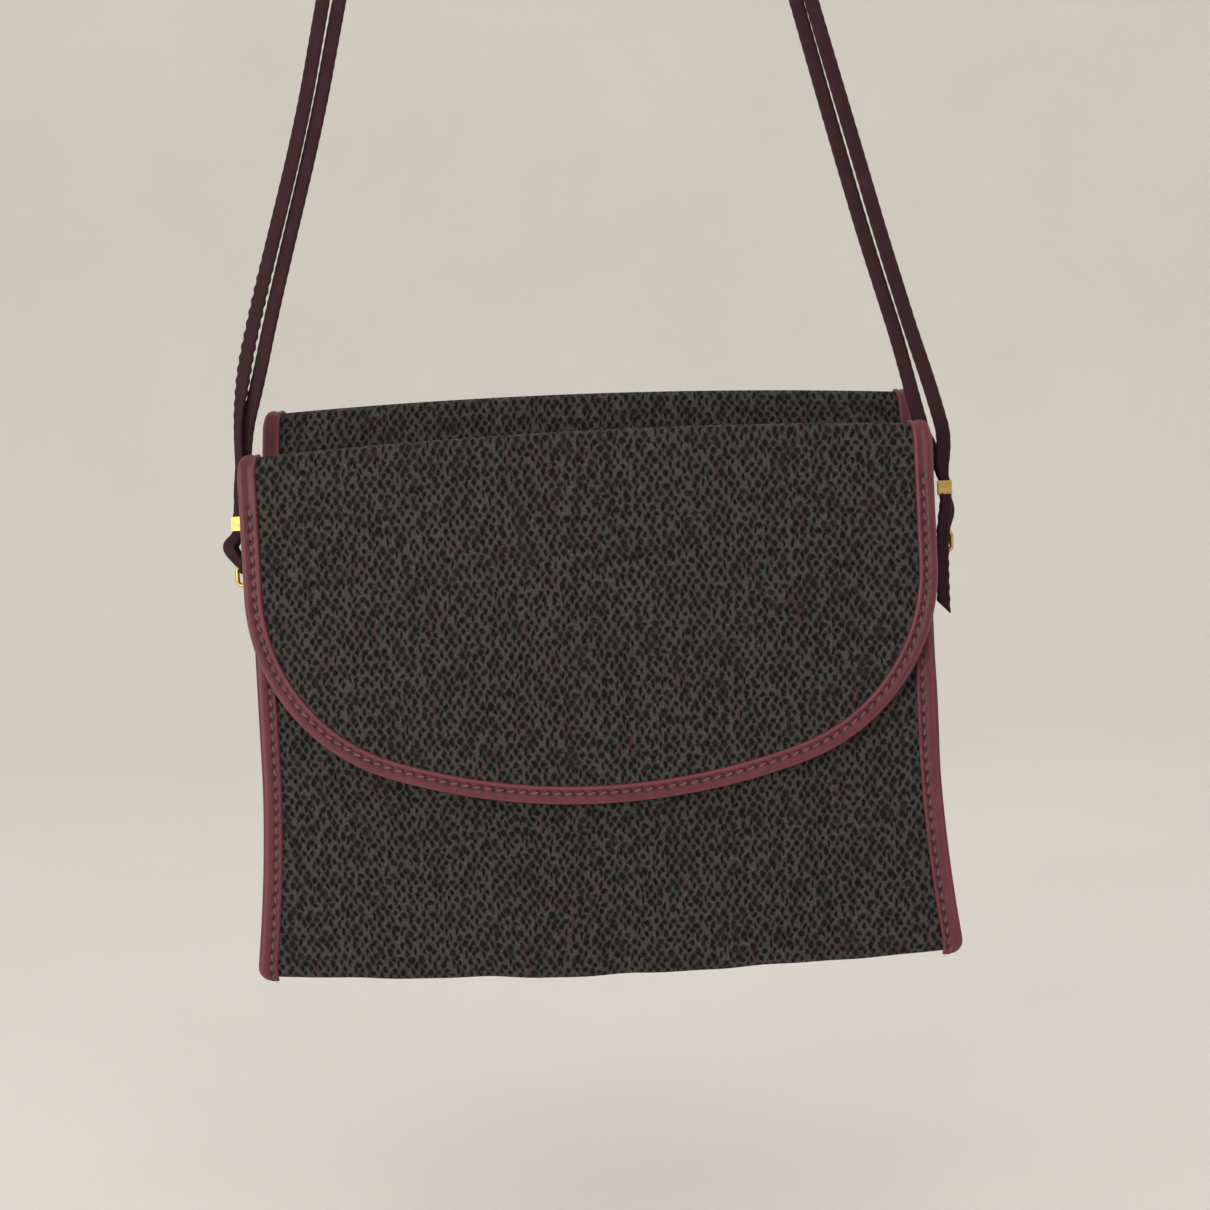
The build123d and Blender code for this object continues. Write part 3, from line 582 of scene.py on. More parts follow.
def flap_edge(inset=0.0):
    """The hanging flap's edge as (x, distance along the flap), from the left to the right."""
    half = FLAP_HALF - inset
    side_v = flap_v(FLAP_TOP_Z - FLAP_SIDE)
    corner_x = FLAP_HALF - FLAP_CORNER_R
    below = FLAP_TOP_Z - FLAP_SIDE - FLAP_LOW_Z
    bottom_r = (corner_x**2 + below**2 - FLAP_CORNER_R**2) / (2 * (below - FLAP_CORNER_R))
    turn = math.atan2(bottom_r - below, corner_x)
    angles = np.linspace(0, turn, 60)
    reach = FLAP_CORNER_R - inset
    corner = np.stack([corner_x + reach * np.cos(angles), side_v + reach * np.sin(angles)], axis=1)
    sweep = np.linspace(math.pi / 2 - turn, 0, 60)[1:]
    long_r = bottom_r - inset
    bottom = np.stack([long_r * np.sin(sweep), side_v + below - bottom_r + long_r * np.cos(sweep)], axis=1)
    right = np.concatenate([corner, bottom])
    left = right[::-1] * [-1, 1]
    return half, np.concatenate([right, left[1:]])[::-1]


# ---------------- the body's surface
def side_half(z):
    """The body's half width at a height: straight above, flaring towards the base."""
    t = np.clip((FLARE_Z - z) / (FLARE_Z - CORNER_Z), 0, 1)
    return BODY_HALF + (BASE_HALF - BODY_HALF) * (FLARE_START * t + (1 - FLARE_START) * t * t)


def back_widening(z):
    """The back is a little wider at its top, where the flap rises from it."""
    return (FLAP_HALF - LEATHER - BODY_HALF) * np.clip((z - FLARE_Z) / (BACK_TOP_Z - FLARE_Z), 0, None)


def base_height(share):
    """The height of the sagging base, across the width."""
    return BASE_END_Z - SAG * (1 - share**2)


def round_edge(first, second, radius):
    """Rounds the sharp edge between two faces, given the distances from both."""
    u = np.clip(1 - first / radius, 0, 1)
    w = np.clip(1 - second / radius, 0, 1)
    return (
        first + radius * u * (1 - np.sqrt(1 - w * w / 2)),
        second + radius * w * (1 - np.sqrt(1 - u * u / 2)),
    )


def settle(points):
    """The soft waves of canvas that hangs with nothing inside, mostly low on the front."""
    x, y, z = points[..., 0], points[..., 1], points[..., 2]
    inside = np.clip(1 - (x / BASE_HALF) ** 2, 0, 1) ** 0.7
    low = 1 - rise(z, BASE_MID_Z + 10, BASE_MID_Z + 95)
    wave = 0.55 * np.sin(x / 11 + z / 19) + 0.5 * np.sin(x / 23 - z / 9 + 2)
    wave = wave + 0.35 * np.sin(x / 7.3 + z / 31)
    facing = np.sign(y) * rise(np.abs(y), BACK_Y - 12, BACK_Y)
    moved = points.copy()
    moved[..., 1] = y - facing * inside * (1.0 * low * wave + 0.25 * np.sin(x / 41 + z / 27) - 0.2)
    under = 1 - rise(z, BASE_MID_Z + 4, BASE_MID_Z + 30)
    ripple = 0.5 * np.sin(x / 8.7 + 0.6) + 0.45 * np.sin(x / 19 + y / 14) + 0.25 * np.sin(x / 4.1)
    moved[..., 2] = z + under * inside * (0.45 + 0.55 * ripple)
    return moved


def body_shape(share, y, z, top_widen=0.0):
    """A place on the body's rounded skin from its place on a sharp-edged box."""
    half = side_half(z) + top_widen
    base = base_height(share)
    dx = half - np.abs(share * half)
    dy = BACK_Y - np.abs(y)
    dz = z - base
    dy, dz = round_edge(dy, dz, EDGE_R)
    dy, dx = round_edge(dy, dx, SEAM_R)
    dx, dz = round_edge(dx, dz, CORNER_R)
    x = np.sign(share) * (half - dx)
    return settle(np.stack([x, np.sign(y) * (BACK_Y - dy), base + dz], axis=-1))


STRIP_COLUMNS = 121
STRIP_CROWDING = 1.25       # the columns lie closer together towards the seams
FACE_ROWS = 71
FACE_CROWDING = 0.9         # and the rows towards the base
UNDER_ROWS = 25


def body_strip():
    """The canvas that runs down the front, under the base and up the back, as a grid."""
    share = np.sin(np.linspace(-1, 1, STRIP_COLUMNS) * STRIP_CROWDING) / math.sin(STRIP_CROWDING)
    down = np.linspace(0, 1, FACE_ROWS) ** FACE_CROWDING
    under = np.linspace(-1, 1, UNDER_ROWS)[1:-1]
    rows, height = [], []
    base = base_height(share)
    for t in down:
        rows.append(body_shape(share, FRONT_Y + 0 * share, MOUTH_Z + t * (base - MOUTH_Z)))
    for t in np.sin(under * math.pi / 2):
        rows.append(body_shape(share, t * BACK_Y + 0 * share, base))
    for t in down[::-1]:
        z = BACK_TOP_Z + t * (base - BACK_TOP_Z)
        rows.append(body_shape(share, BACK_Y + 0 * share, z, back_widening(z)))
    points = np.array(rows)
    step = np.linalg.norm(np.diff(points, axis=0), axis=2)
    length = np.concatenate([np.zeros((1, points.shape[1])), np.cumsum(step, axis=0)])
    length -= length[-1:]
    place = np.stack([points[..., 0], length, 0 * length], axis=-1)
    return points, place


# The gusset's top edge dips in the middle: y, and height above the mouth.
GUSSET_TOP = np.array([(-25.4, -1.5), (3, -17.5), (12, -17.5), (25.4, 9.0)])
GUSSET_COLUMNS, GUSSET_ROWS = 29, 81


def gusset_grid(side):
    """A side wall from the canvas's front edge to its back edge, bulging outwards."""
    across = np.sin(np.linspace(-1, 1, GUSSET_COLUMNS) * math.pi / 2)
    y = across * BACK_Y
    top = MOUTH_Z + np.interp(y, GUSSET_TOP[:, 0], GUSSET_TOP[:, 1])
    top = np.convolve(np.pad(top, 2, mode="edge"), np.ones(5) / 5, mode="valid")
    rows = []
    for t in np.linspace(0, 1, GUSSET_ROWS):
        z = top + t * (BASE_END_Z - top)
        widen = back_widening(z) * rise(y, 0, BACK_Y)
        point = body_shape(side * np.ones_like(y), y, z, widen)
        share = 1 - rise(-z, -CORNER_Z - 50, -CORNER_Z + 6)
        bulge = GUSSET_BULGE * np.clip(1 - (y / 23) ** 2, 0, 1) * share
        fold = 0.35 * np.sin(z / 13 + 2 * y / 27) * np.clip(1 - (y / 25) ** 2, 0, 1) * share
        point[:, 0] += side * (bulge + fold)
        rows.append(point)
    points = np.array(rows)
    place = np.stack([points[..., 1] * side + 300, points[..., 2], 0 * points[..., 2]], axis=-1)
    return points, place


def seam_line(top_z, side, back):
    """A side seam seen from the front or the back, from its top straight down to the base."""
    heights = np.linspace(top_z, BASE_END_Z - LEATHER, 120)
    widen = back_widening(heights) if back else 0
    return np.stack([side_half(heights) + widen, heights], axis=1) * [side, 1]


# ---------------- leather profiles
# Points are (inward from the edge, height). The flap's edge is folded round both faces.
FLAP_PROFILE = [
    (7.0, 1.12), (6.85, 1.6), (6.5, 2.0), (6.0, 2.2), (5.5, 2.15), (5.0, 1.98), (4.6, 1.86), (4.1, 1.8),
    (3.6, 1.88), (3.1, 2.06), (2.2, 2.3), (1.4, 2.35), (0.7, 2.15), (0.25, 1.7), (0.0, 1.0), (-0.05, 0.0),
    (0.0, -1.0), (0.35, -1.6), (1.1, -1.95), (2.4, -2.0), (3.5, -1.85), (4.8, -2.0), (6.2, -1.9),
    (7.0, -1.12), (5.0, -1.08), (1.0, -0.9), (1.0, 0.9), (5.0, 1.08),
]
# The body's edge lies on the front and wraps onto the gusset.
SEAM_PROFILE = [
    (6.4, 0.02), (6.25, 0.5), (5.9, 0.9), (5.4, 1.05), (4.9, 0.92), (4.5, 0.78), (4.1, 0.72), (3.6, 0.8),
    (3.0, 0.96), (2.2, 1.15), (1.2, 1.22), (0.2, 1.15), (-0.5, 0.75), (-1.0, 0.1), (-1.1, -1.2),
    (-1.05, -2.8), (-1.0, -4.4), (-0.75, -5.4), (-0.1, -5.8), (0.0, -5.0), (0.0, -1.5), (0.3, -0.5),
    (1.5, -0.3), (5.0, -0.3),
]


def near_ridge(line):
    """1 beside the two ridges, where the flap's edge shows no stitches, falling to 0 further away."""
    v = line[..., 1]
    above = rise(v, REAR_RIDGE_V - PLAIN_REACH - 4, REAR_RIDGE_V - PLAIN_REACH)
    return above * (1 - rise(v, FRONT_RIDGE_V + PLAIN_REACH, FRONT_RIDGE_V + PLAIN_REACH + 4))


def flap_binding(name, line, inward, material):
    # the second value is painted light: highlight on the rims, shade in the needle holes
    flat, painted_light = edge_band(line, FLAP_PROFILE, inward, near_ridge)
    return tube(name, flap_shape(flat), material, painted_light=painted_light)


def seam_band(line, inward, face):
    """A body binding: height is measured out of the front or the back face."""
    # the second value is painted light: highlight on the rims, shade in the needle holes
    flat, painted_light = edge_band(line, SEAM_PROFILE, inward)
    return seam_place(flat, face), painted_light


def seam_place(flat, face):
    """Places in space of flat coordinates (x, z, height out of the front or back face).

    The seam's outer edge draws in towards its lower end, which rounds the bag's bottom corner.
    """
    x, z, h = flat[..., 0], flat[..., 1], flat[..., 2]
    near = np.clip(1 - (z - BASE_END_Z + LEATHER) / CORNER_R, 0, 1)
    drawn = (CORNER_R - 0.5) * (1 - np.sqrt(1 - near * near))
    outer = np.clip(1 - (side_half(z) - np.abs(x)) / BINDING_W, 0, None)
    x = x - np.sign(x) * drawn * outer
    return np.stack([x, face * (BACK_Y + h), z], axis=-1)


# ---------------- strap
def leg_frame(side):
    """A leg of the strap above its keeper.

    Returns its start, direction, outward normal and length, and the angle at which it meets the peg.
    """
    mid_r = PEG_R + STRAND_T / 2
    start = np.array([side * KEEPER_X, 0, KEEPER_Z + KEEPER_H / 2])
    down = -start[2] - PEG_R
    angle = math.atan2(-down, KEEPER_X) + math.acos(mid_r / math.hypot(KEEPER_X, down))
    end = np.array([side * mid_r * math.cos(angle), 0, -PEG_R + mid_r * math.sin(angle)])
    direction = (end - start) / np.linalg.norm(end - start)
    outward = np.array([side * direction[2], 0, -side * direction[0]])
    return start, direction, outward, np.linalg.norm(end - start), angle


def ribbon(centers, across, width, thick, along, scallop=None, groove=0.28):
    """Sections of a folded leather strip with a stitched groove down both faces."""
    direction = np.gradient(centers, axis=0)
    direction /= np.linalg.norm(direction, axis=1, keepdims=True)
    across = across - direction * np.sum(across * direction, axis=1, keepdims=True)
    across /= np.linalg.norm(across, axis=1, keepdims=True)
    normal = np.cross(direction, across)
    turn = np.linspace(0, 2 * math.pi, 21)[:-1]
    w = np.sign(np.cos(turn)) * np.abs(np.cos(turn)) ** 0.55 / 2
    t = np.sign(np.sin(turn)) * np.abs(np.sin(turn)) ** 0.75 / 2
    width = np.broadcast_to(width, along.shape)[:, None]
    thick = np.broadcast_to(thick, along.shape)[:, None]
    swell = 0.5 + 0.5 * np.cos(2 * math.pi * along / 4.5)[:, None]
    dip = groove * np.exp(-((w[None, :] * width / 0.55) ** 2)) * (0.6 + 0.8 * swell)
    high = t[None, :] * thick - np.sign(t)[None, :] * np.minimum(dip, np.abs(t)[None, :] * thick * 0.5)
    wide = w[None, :] * width
    if scallop is not None:
        wide = wide + np.sign(w)[None, :] * (np.abs(w) > 0.3)[None, :] * scallop[:, None] * (swell - 0.5)
    return centers[:, None, :] + across[:, None, :] * wide[..., None] + normal[:, None, :] * high[..., None]


LEFT_BOW = 5.0              # the left leg bows out this far above its keeper
RIGHT_BOW = 1.2
LEFT_TWIST = 50             # and its front strand turns this far, in degrees, just above it
LEG_POINTS = 700
KEPT_POINTS = 8
PEG_DEPTH = 2.7             # a strand's middle is this far in front of or behind the bag's over the peg


def strand_course(front):
    """One strand from the left keeper over the peg to the right keeper."""
    depth_side = -1 if front else 1
    stack = STRAND_T / 2 + 0.05
    centers, across = [], []
    for side in (-1, 1):
        start, direction, outward, length, _ = leg_frame(side)
        t = np.linspace(0, 1, LEG_POINTS)
        spread = 3.0 * rise(t, 0, 0.12)
        if side > 0:
            spread = 3.6 * rise(t, 0, 0.04) - 0.8 * rise(t, 0.05, 0.12)
        spread = spread * (1 - rise(t, 0.7, 0.98))
        depth = stack + (PEG_DEPTH - stack) * rise(t, 0.45, 0.75)
        turn = np.radians(90 * rise(t, 0.45, 0.95))
        sway = 0.4 * np.sin(t * 9 + 2 * side + depth_side) * rise(t, 0.05, 0.3) * (1 - rise(t, 0.8, 1))
        if side < 0:
            sway = sway + LEFT_BOW * rise(t, 0, 0.075) * (1 - rise(t, 0.1, 0.32))
            turn = turn + front * np.radians(LEFT_TWIST) * rise(t, 0.01, 0.04) * (1 - rise(t, 0.06, 0.11))
        else:
            sway = sway + RIGHT_BOW * rise(t, 0, 0.03) * (1 - rise(t, 0.06, 0.2))
        center = start + direction * (length * t)[:, None]
        center = center + outward * (spread * -depth_side + sway)[:, None]
        center = center + np.array([0, 1, 0]) * (depth_side * depth)[:, None]
        wide = outward * np.cos(turn)[:, None] + np.array([0, 1, 0]) * np.sin(turn)[:, None]
        drop = np.linspace(KEEPER_H, 0.5, KEPT_POINTS)[:, None] * [0, 0, 1]
        below = start + np.array([0, depth_side * stack, 0]) - drop
        center = np.concatenate([below, center])
        wide = np.concatenate([np.tile(wide[:1], (KEPT_POINTS, 1)), wide])
        order = slice(None) if side < 0 else slice(None, None, -1)
        centers.append(center[order])
        across.append(wide[order])
    angle = leg_frame(1)[4]
    bend = np.linspace(math.pi - angle, angle, 30)[1:-1]
    mid_r = PEG_R + STRAND_T / 2
    height = -PEG_R + mid_r * np.sin(bend)
    arc = np.stack([mid_r * np.cos(bend), depth_side * PEG_DEPTH + 0 * bend, height], axis=1)
    centers = np.concatenate([centers[0], arc, centers[1]])
    middle = np.tile([[0.0, 1.0, 0.0]], (len(bend), 1))
    across = np.concatenate([across[0], middle, across[1]])
    steps = np.linalg.norm(np.diff(centers, axis=0), axis=1)
    return centers, across, np.concatenate([[0], np.cumsum(steps)])


def loop_course(side, bulge):
    """The strap's end: one course down from the keeper, round the ring and up again."""
    foot = np.array([side * KEEPER_X, 0, KEEPER_Z - KEEPER_H / 2])
    front = [foot + [0, -1.05, 0.4]]
    front.append(foot + [side * bulge * 0.25, -1.6, -2.5])
    front.append(np.array([side * (LOOP_X + bulge), -3.0, BULGE_Z]))
    front.append(np.array([side * (LOOP_X + bulge * 0.45), -2.9, RING_TOP_Z + 2.6]))
    front.append(np.array([side * LOOP_X, -2.2, RING_TOP_Z]))
    turn = np.radians(np.linspace(200, 340, 7))
    under = [np.array([side * LOOP_X, 2.2 * math.cos(a), RING_TOP_Z + 2.2 * math.sin(a)]) for a in turn]
    back = [point * [1, -1, 1] for point in front[::-1]]
    return smooth_course(np.array(front + under + back), 0.6)


def smooth_course(control, step):
    """A smooth line through a few points (Catmull-Rom), evenly spaced."""
    padded = np.concatenate([[2 * control[0] - control[1]], control, [2 * control[-1] - control[-2]]])
    pieces = []
    for a, b, c, d in zip(padded, padded[1:], padded[2:], padded[3:]):
        t = np.linspace(0, 1, 12)[:-1, None]
        bend = 2 * a - 5 * b + 4 * c - d
        twist = 3 * b - a - 3 * c + d
        pieces.append(0.5 * (2 * b + (c - a) * t + bend * t**2 + twist * t**3))
    pieces.append(control[-1:])
    return resample(np.concatenate(pieces), step)


# ---------------- camera, lights and floor
CAMERA_PLACE = (0.0435, -0.801, -0.548)
CAMERA_TURN = (-2.8, 2.2, 2.9)      # degrees to the right, down and clockwise
CAMERA_LENS = 61.34876
WARM_WHITE = (1.0, 0.97, 0.93)
FLOOR_DROP = 110                    # from the bag's base to the floor


def make_camera():
    data = bpy.data.cameras.new("camera")
    data.sensor_width = 36.0
    data.lens = CAMERA_LENS
    data.clip_start = 0.01
    camera = bpy.data.objects.new("camera", data)
    yaw, pitch, roll = (math.radians(a) for a in CAMERA_TURN)
    camera.location = CAMERA_PLACE
    camera.rotation_mode = "XYZ"
    level = math.cos(pitch)
    forward = np.array([math.sin(yaw) * level, math.cos(yaw) * level, -math.sin(pitch)])
    right = np.array([math.cos(yaw), -math.sin(yaw), 0])
    up = np.cross(right, forward)
    turned_right = right * math.cos(roll) - up * math.sin(roll)
    turned_up = right * math.sin(roll) + up * math.cos(roll)
    axes = Matrix((turned_right, turned_up, -forward)).transposed()
    camera.rotation_euler = axes.to_euler()
    bpy.context.scene.collection.objects.link(camera)
    bpy.context.scene.camera = camera


def make_light(name, place, target, size, power, colour):
    data = bpy.data.lights.new(name, "AREA")
    data.shape = "DISK"
    data.size = size
    data.energy = power
    data.color = colour
    light = bpy.data.objects.new(name, data)
    light.location = place
    light.rotation_euler = (Vector(target) - Vector(place)).to_track_quat("-Z", "Y").to_euler()
    bpy.context.scene.collection.objects.link(light)


def make_stage():
    """A pale floor that curves up into a low wall all round, some way below the hanging bag."""
    floor_z = BASE_MID_Z - FLOOR_DROP
    radii = [0, 900, 1700, 2200, 2500, 2700, 2800, 2850, 2850, 2850]
    lifts = [0, 0, 0, 20, 90, 230, 430, 700, 1400, 2600]
    turn = np.linspace(0, 2 * math.pi, 65)[:-1]
    rows = [
        np.stack([max(r, 1) * np.cos(turn), max(r, 1) * np.sin(turn), floor_z + h + 0 * turn], axis=1)
        for r, h in zip(radii, lifts)
    ]
    points = np.array(rows)
    faces = grid_faces(len(rows), 64, closed=True) + [tuple(reversed(range(64)))]
    floor = new_piece("floor", points, faces, wall_material())
    subdivide = floor.modifiers.new("smooth", "SUBSURF")
    subdivide.levels = subdivide.render_levels = 2


def make_surroundings():
    """Even, slightly warm light from everywhere."""
    world = bpy.data.worlds.new("soft")
    world.use_nodes = True
    background = world.node_tree.nodes["Background"]
    background.inputs["Color"].default_value = (1.0, 0.975, 0.94, 1)
    background.inputs["Strength"].default_value = 1.03
    bpy.context.scene.world = world
    bpy.context.scene.view_settings.view_transform = "Standard"


make_camera()
make_stage()
make_surroundings()
make_light("key", (-0.70, -0.98, -0.49), (-0.02, 0, -0.72), 0.56, 6.4, WARM_WHITE)
make_light("fill", (1.1, -1.6, 0.3), (0, 0, -0.6), 1.2, 3, (1.0, 0.97, 0.94))

# ---------------- materials in use
canvas = canvas_material()
binding = leather_material("burgundy_leather", (0.022, 0.003, 0.006), (0.185, 0.034, 0.048), 0.30, 0.1)
strap_leather = leather_material(
    "strap_leather", (0.030, 0.008, 0.012), (0.155, 0.042, 0.062), 0.48, 0.0, 0.2
)
thread = twill_material("thread", (0.11, 0.028, 0.036), (0.26, 0.085, 0.10), 0.5)
lining = twill_material("lining_fabric", (0.085, 0.022, 0.028), (0.20, 0.062, 0.070), 0.7)
tape = twill_material("zip_tape", (0.05, 0.014, 0.018), (0.13, 0.04, 0.045), 1.1)
gold = metal_material()
board = board_material()
tab_leather = cad_leather_material("tab_leather", (0.070, 0.012, 0.020), (0.20, 0.05, 0.065))


def dress(piece, body, slot, *nodes):
    """Hides the CAD nodes a rigid piece stands for and attaches it to the body it rides on. The slot is not
    used.
    """
    if nodes:
        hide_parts(*nodes)
    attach(piece, body)


def dress_bent(piece, slot, bodies, bend, *nodes):
    """Hides the CAD nodes a piece stands for and bakes its placement into its mesh. The slot, bodies and
    bend are not used.
    """
    if nodes:
        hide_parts(*nodes)
    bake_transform(piece)


def cloth_piece(name, points, place, thick, offset, material):
    """A closed sheet of cloth, made from the grid of its outer face."""
    normals = grid_normals(points)
    outer = points - normals * (np.asarray(offset)[..., None] if np.ndim(offset) else offset)
    inner = outer - normals * thick
    return slab(name, outer, inner, place, material)


# ---------------- body
LAYER_GAP = 0.05            # between the layers, so that their faces never coincide
LINING_ROWS = slice(2, -2)  # the lining ends a little below the canvas
BOARD_ROWS = slice(74, 91)  # the rows and columns of the strip that the base board covers
BOARD_COLUMNS = slice(8, -8)
MIDDLE_OF_FRONT = (FACE_ROWS // 2, STRIP_COLUMNS // 2)
MIDDLE_OF_GUSSET = (GUSSET_ROWS // 2, GUSSET_COLUMNS // 2)
STITCH_HEIGHT = {"body": 0.78, "flap": 1.86}


def make_body():
    """The canvas strip, the lining inside it and the board in the base."""
    points, place = body_strip()
    if grid_normals(points)[MIDDLE_OF_FRONT][1] > 0:
        points, place = points[:, ::-1], place[:, ::-1]
    shell = cloth_piece("body_canvas", points, place, CANVAS, 0.0, canvas)
    dress(shell, "bag", "woven_canvas", "front_panel", "base_panel", "back_panel")

    on_base = 1 - rise(points[..., 2], BASE_MID_Z + 5, BASE_MID_Z + 14)
    on_base *= rise(BACK_Y - np.abs(points[..., 1]), 0.5, 4)
    depth = CANVAS + LAYER_GAP + (BOARD + LAYER_GAP) * on_base[LINING_ROWS]
    inside = cloth_piece("body_lining", points[LINING_ROWS], place[LINING_ROWS], LINING, depth, lining)
    dress(inside, "bag", "lining_fabric", "front_lining", "base_lining", "back_lining")

    covered = points[BOARD_ROWS, BOARD_COLUMNS]
    covered_place = place[BOARD_ROWS, BOARD_COLUMNS]
    stiffener = cloth_piece("base_board_sheet", covered, covered_place, BOARD, CANVAS + 0.03, board)
    dress(stiffener, "bag", "base_board", "base_board")


def make_gusset(word, side):
    """One side wall and its lining."""
    points, place = gusset_grid(side)
    if grid_normals(points)[MIDDLE_OF_GUSSET][0] * side < 0:
        points, place = points[:, ::-1], place[:, ::-1]
    gusset = cloth_piece(f"gusset_{word}_canvas", points, place, CANVAS, 0.0, canvas)
    dress(gusset, "bag", "woven_canvas", f"gusset_{word}")
    inner = cloth_piece(f"gusset_{word}_lining", points[1:], place[1:], LINING, CANVAS + LAYER_GAP, lining)
    dress(inner, "bag", "lining_fabric", f"gusset_lining_{word}")


def make_seam(word, side, face_word, face):
    """The leather and the stitches down one seam; face is -1 at the front and 1 at the back."""
    top_z = MOUTH_Z - 1 if face < 0 else BACK_TOP_Z
    line = seam_line(top_z, side, face > 0)
    # the second value is painted light: highlight on the rims, shade in the needle holes
    sections, painted_light = seam_band(line, -side, face)
    if side * face < 0:
        sections, painted_light = sections[:, ::-1], painted_light[:, ::-1]
    seam = tube(f"{face_word}_seam_leather_{word}", sections, binding, painted_light=painted_light)
    dress(seam, "bag", "burgundy_leather", f"{face_word}_binding_{word}")
    spindles = stitch_row(line, GROOVE, STITCH_HEIGHT["body"], -side)
    name = f"{face_word}_seam_stitches_{word}"
    seam_thread = stitches(name, spindles, lambda flat: seam_place(flat, face), thread)
    dress(seam_thread, "bag", "burgundy_leather")


make_body()
for word, side in SIDES.items():
    make_gusset(word, side)
    for face_word, face in (("front", -1), ("back", 1)):
        make_seam(word, side, face_word, face)


# ---------------- flap
MID = SHEET / 2
FLAP_INSET = 2.0            # the canvas ends this far inside the leather edge
UPPER_BODIES = ("bag", "flap_upper")
LOWER_BODIES = ("flap_upper", "flap_lower")


def rear_bend(before, after):
    """Where a layer of the rear fold starts and stops bending, as distances from the fold's axis."""
    tilt = math.radians(10)
    forward = np.array([-math.cos(tilt), math.sin(tilt)])
    start = (REAR_AXIS - before * forward) * MM
    end = (REAR_AXIS + after * forward) * MM
    return dict(start=(0, *start), end=(0, *end))


REAR_BLEND = rear_bend(2.6, 4.3)
REAR_LINING_BLEND = rear_bend(1.2, 2.2)
FRONT_BLEND = dict(
    start=(0, (FRONT_AXIS[0] + 2.6) * MM, (FRONT_AXIS[1] + 4.0) * MM),
    end=(0, (FRONT_AXIS[0] - 3.4) * MM, (FRONT_AXIS[1] - 2.6) * MM),
)


def flap_top_grid():
    """The flap's top in flat coordinates, from the back panel over the rear ridge to the valley."""
    x = np.linspace(-1, 1, 121) * (FLAP_HALF - 1.2)
    past_ridge = REAR_RIDGE_V + 8
    rear = np.linspace(0, past_ridge, 26)
    falling = np.linspace(past_ridge, VALLEY_V, 24)[1:]
    return np.meshgrid(x, np.concatenate([rear, falling]))


def flap_front_grid():
    """The rest of the flap in flat coordinates, from the valley over the front ridge to its edge."""
    edge = flap_edge(FLAP_INSET)[1]
    edge = edge[np.argsort(edge[:, 0])]
    low_v = flap_v(FLAP_TOP_Z - 30)
    before_fold = HANGING_V - 10
    rising = np.linspace(VALLEY_V, before_fold, 14)[:-1]
    falling = np.linspace(before_fold, low_v, 44)
    columns = np.unique(np.round(np.concatenate([flap_edge(FLAP_INSET)[1][::2, 0], [0.0]]), 4))
    edge_low = np.interp(columns, edge[:, 0], edge[:, 1])
    upper_x, upper_v = np.meshgrid(columns, np.concatenate([rising, falling]))
    share = np.linspace(0, 1, 56)[1:, None]
    lower_v = low_v + share * (edge_low[None, :] - low_v)
    lower_x = np.broadcast_to(columns, lower_v.shape)
    return np.concatenate([upper_x, lower_x]), np.concatenate([upper_v, lower_v])


def flap_layer(name, x, v, high, low, material):
    """A layer of the flap between two heights off its middle."""
    order = slice(None, None, -1)
    outer = flap_shape(np.stack([x, v, 0 * x + high], axis=-1))[:, order]
    inner = flap_shape(np.stack([x, v, 0 * x + low], axis=-1))[:, order]
    place = np.stack([x, v, 0 * x], axis=-1)[:, order]
    return slab(name, outer, inner, place, material), place


def make_flap_sheets(name, high, low, material, slot, top_nodes, front_nodes, rear_blend):
    """One cloth of the flap, as a sheet over each fold."""
    piece, place = flap_layer(f"flap_top_{name}_sheet", *flap_top_grid(), high, low, material)
    dress_bent(piece, slot, UPPER_BODIES, rear_blend, *top_nodes)
    piece, place = flap_layer(f"flap_front_{name}_sheet", *flap_front_grid(), high, low, material)
    dress_bent(piece, slot, LOWER_BODIES, FRONT_BLEND, *front_nodes)


def make_flap_edges():
    """The leather round the flap and its stitches, and the leather down both sides of its top."""
    half, edge = flap_edge(0.0)
    line = np.concatenate([[(-half, VALLEY_V)], edge, [(half, VALLEY_V)]])
    leather = flap_binding("flap_front_leather", line, -1, binding)
    dress_bent(leather, "burgundy_leather", LOWER_BODIES, FRONT_BLEND, "flap_binding", "fold_binding_front")
    spindles = stitch_row(line, GROOVE, STITCH_HEIGHT["flap"], -1, near_ridge)
    front_thread = stitches("flap_front_stitches", spindles, flap_shape, thread)
    dress_bent(front_thread, "burgundy_leather", LOWER_BODIES, FRONT_BLEND)
    for word, side in SIDES.items():
        line = np.array([(side * FLAP_HALF, 0.0), (side * FLAP_HALF, VALLEY_V)])
        leather = flap_binding(f"flap_top_leather_{word}", line, side, binding)
        nodes = ("fold_binding_rear", "flap_top_binding") if word == "left" else ()
        dress_bent(leather, "burgundy_leather", UPPER_BODIES, REAR_BLEND, *nodes)


make_flap_sheets(
    "canvas", MID, MID - CANVAS, canvas, "woven_canvas",
    ["flap_top", "flap_fold_rear"], ["flap_front", "flap_fold_front"], REAR_BLEND,
)
make_flap_sheets(
    "lining", MID - CANVAS, -MID, lining, "lining_fabric",
    ["flap_top_lining"], ["flap_lining"], REAR_LINING_BLEND,
)
make_flap_edges()


# ---------------- strap pieces
LOOP_BULGES = {"left": 5.0, "right": 1.8}
LOOP_THICK = 1.9
TAIL_COURSE = [
    (KEEPER_X, -3.3, KEEPER_Z - KEEPER_H / 2), (136.9, -5.2, -547), (135.4, -6.9, -557),
    (134.5, -7.6, -569), (134.2, -7.8, -590),
]
TAIL_CUT = (131.7, -583, 1.05)      # the tail's slanting end: x, z and slope


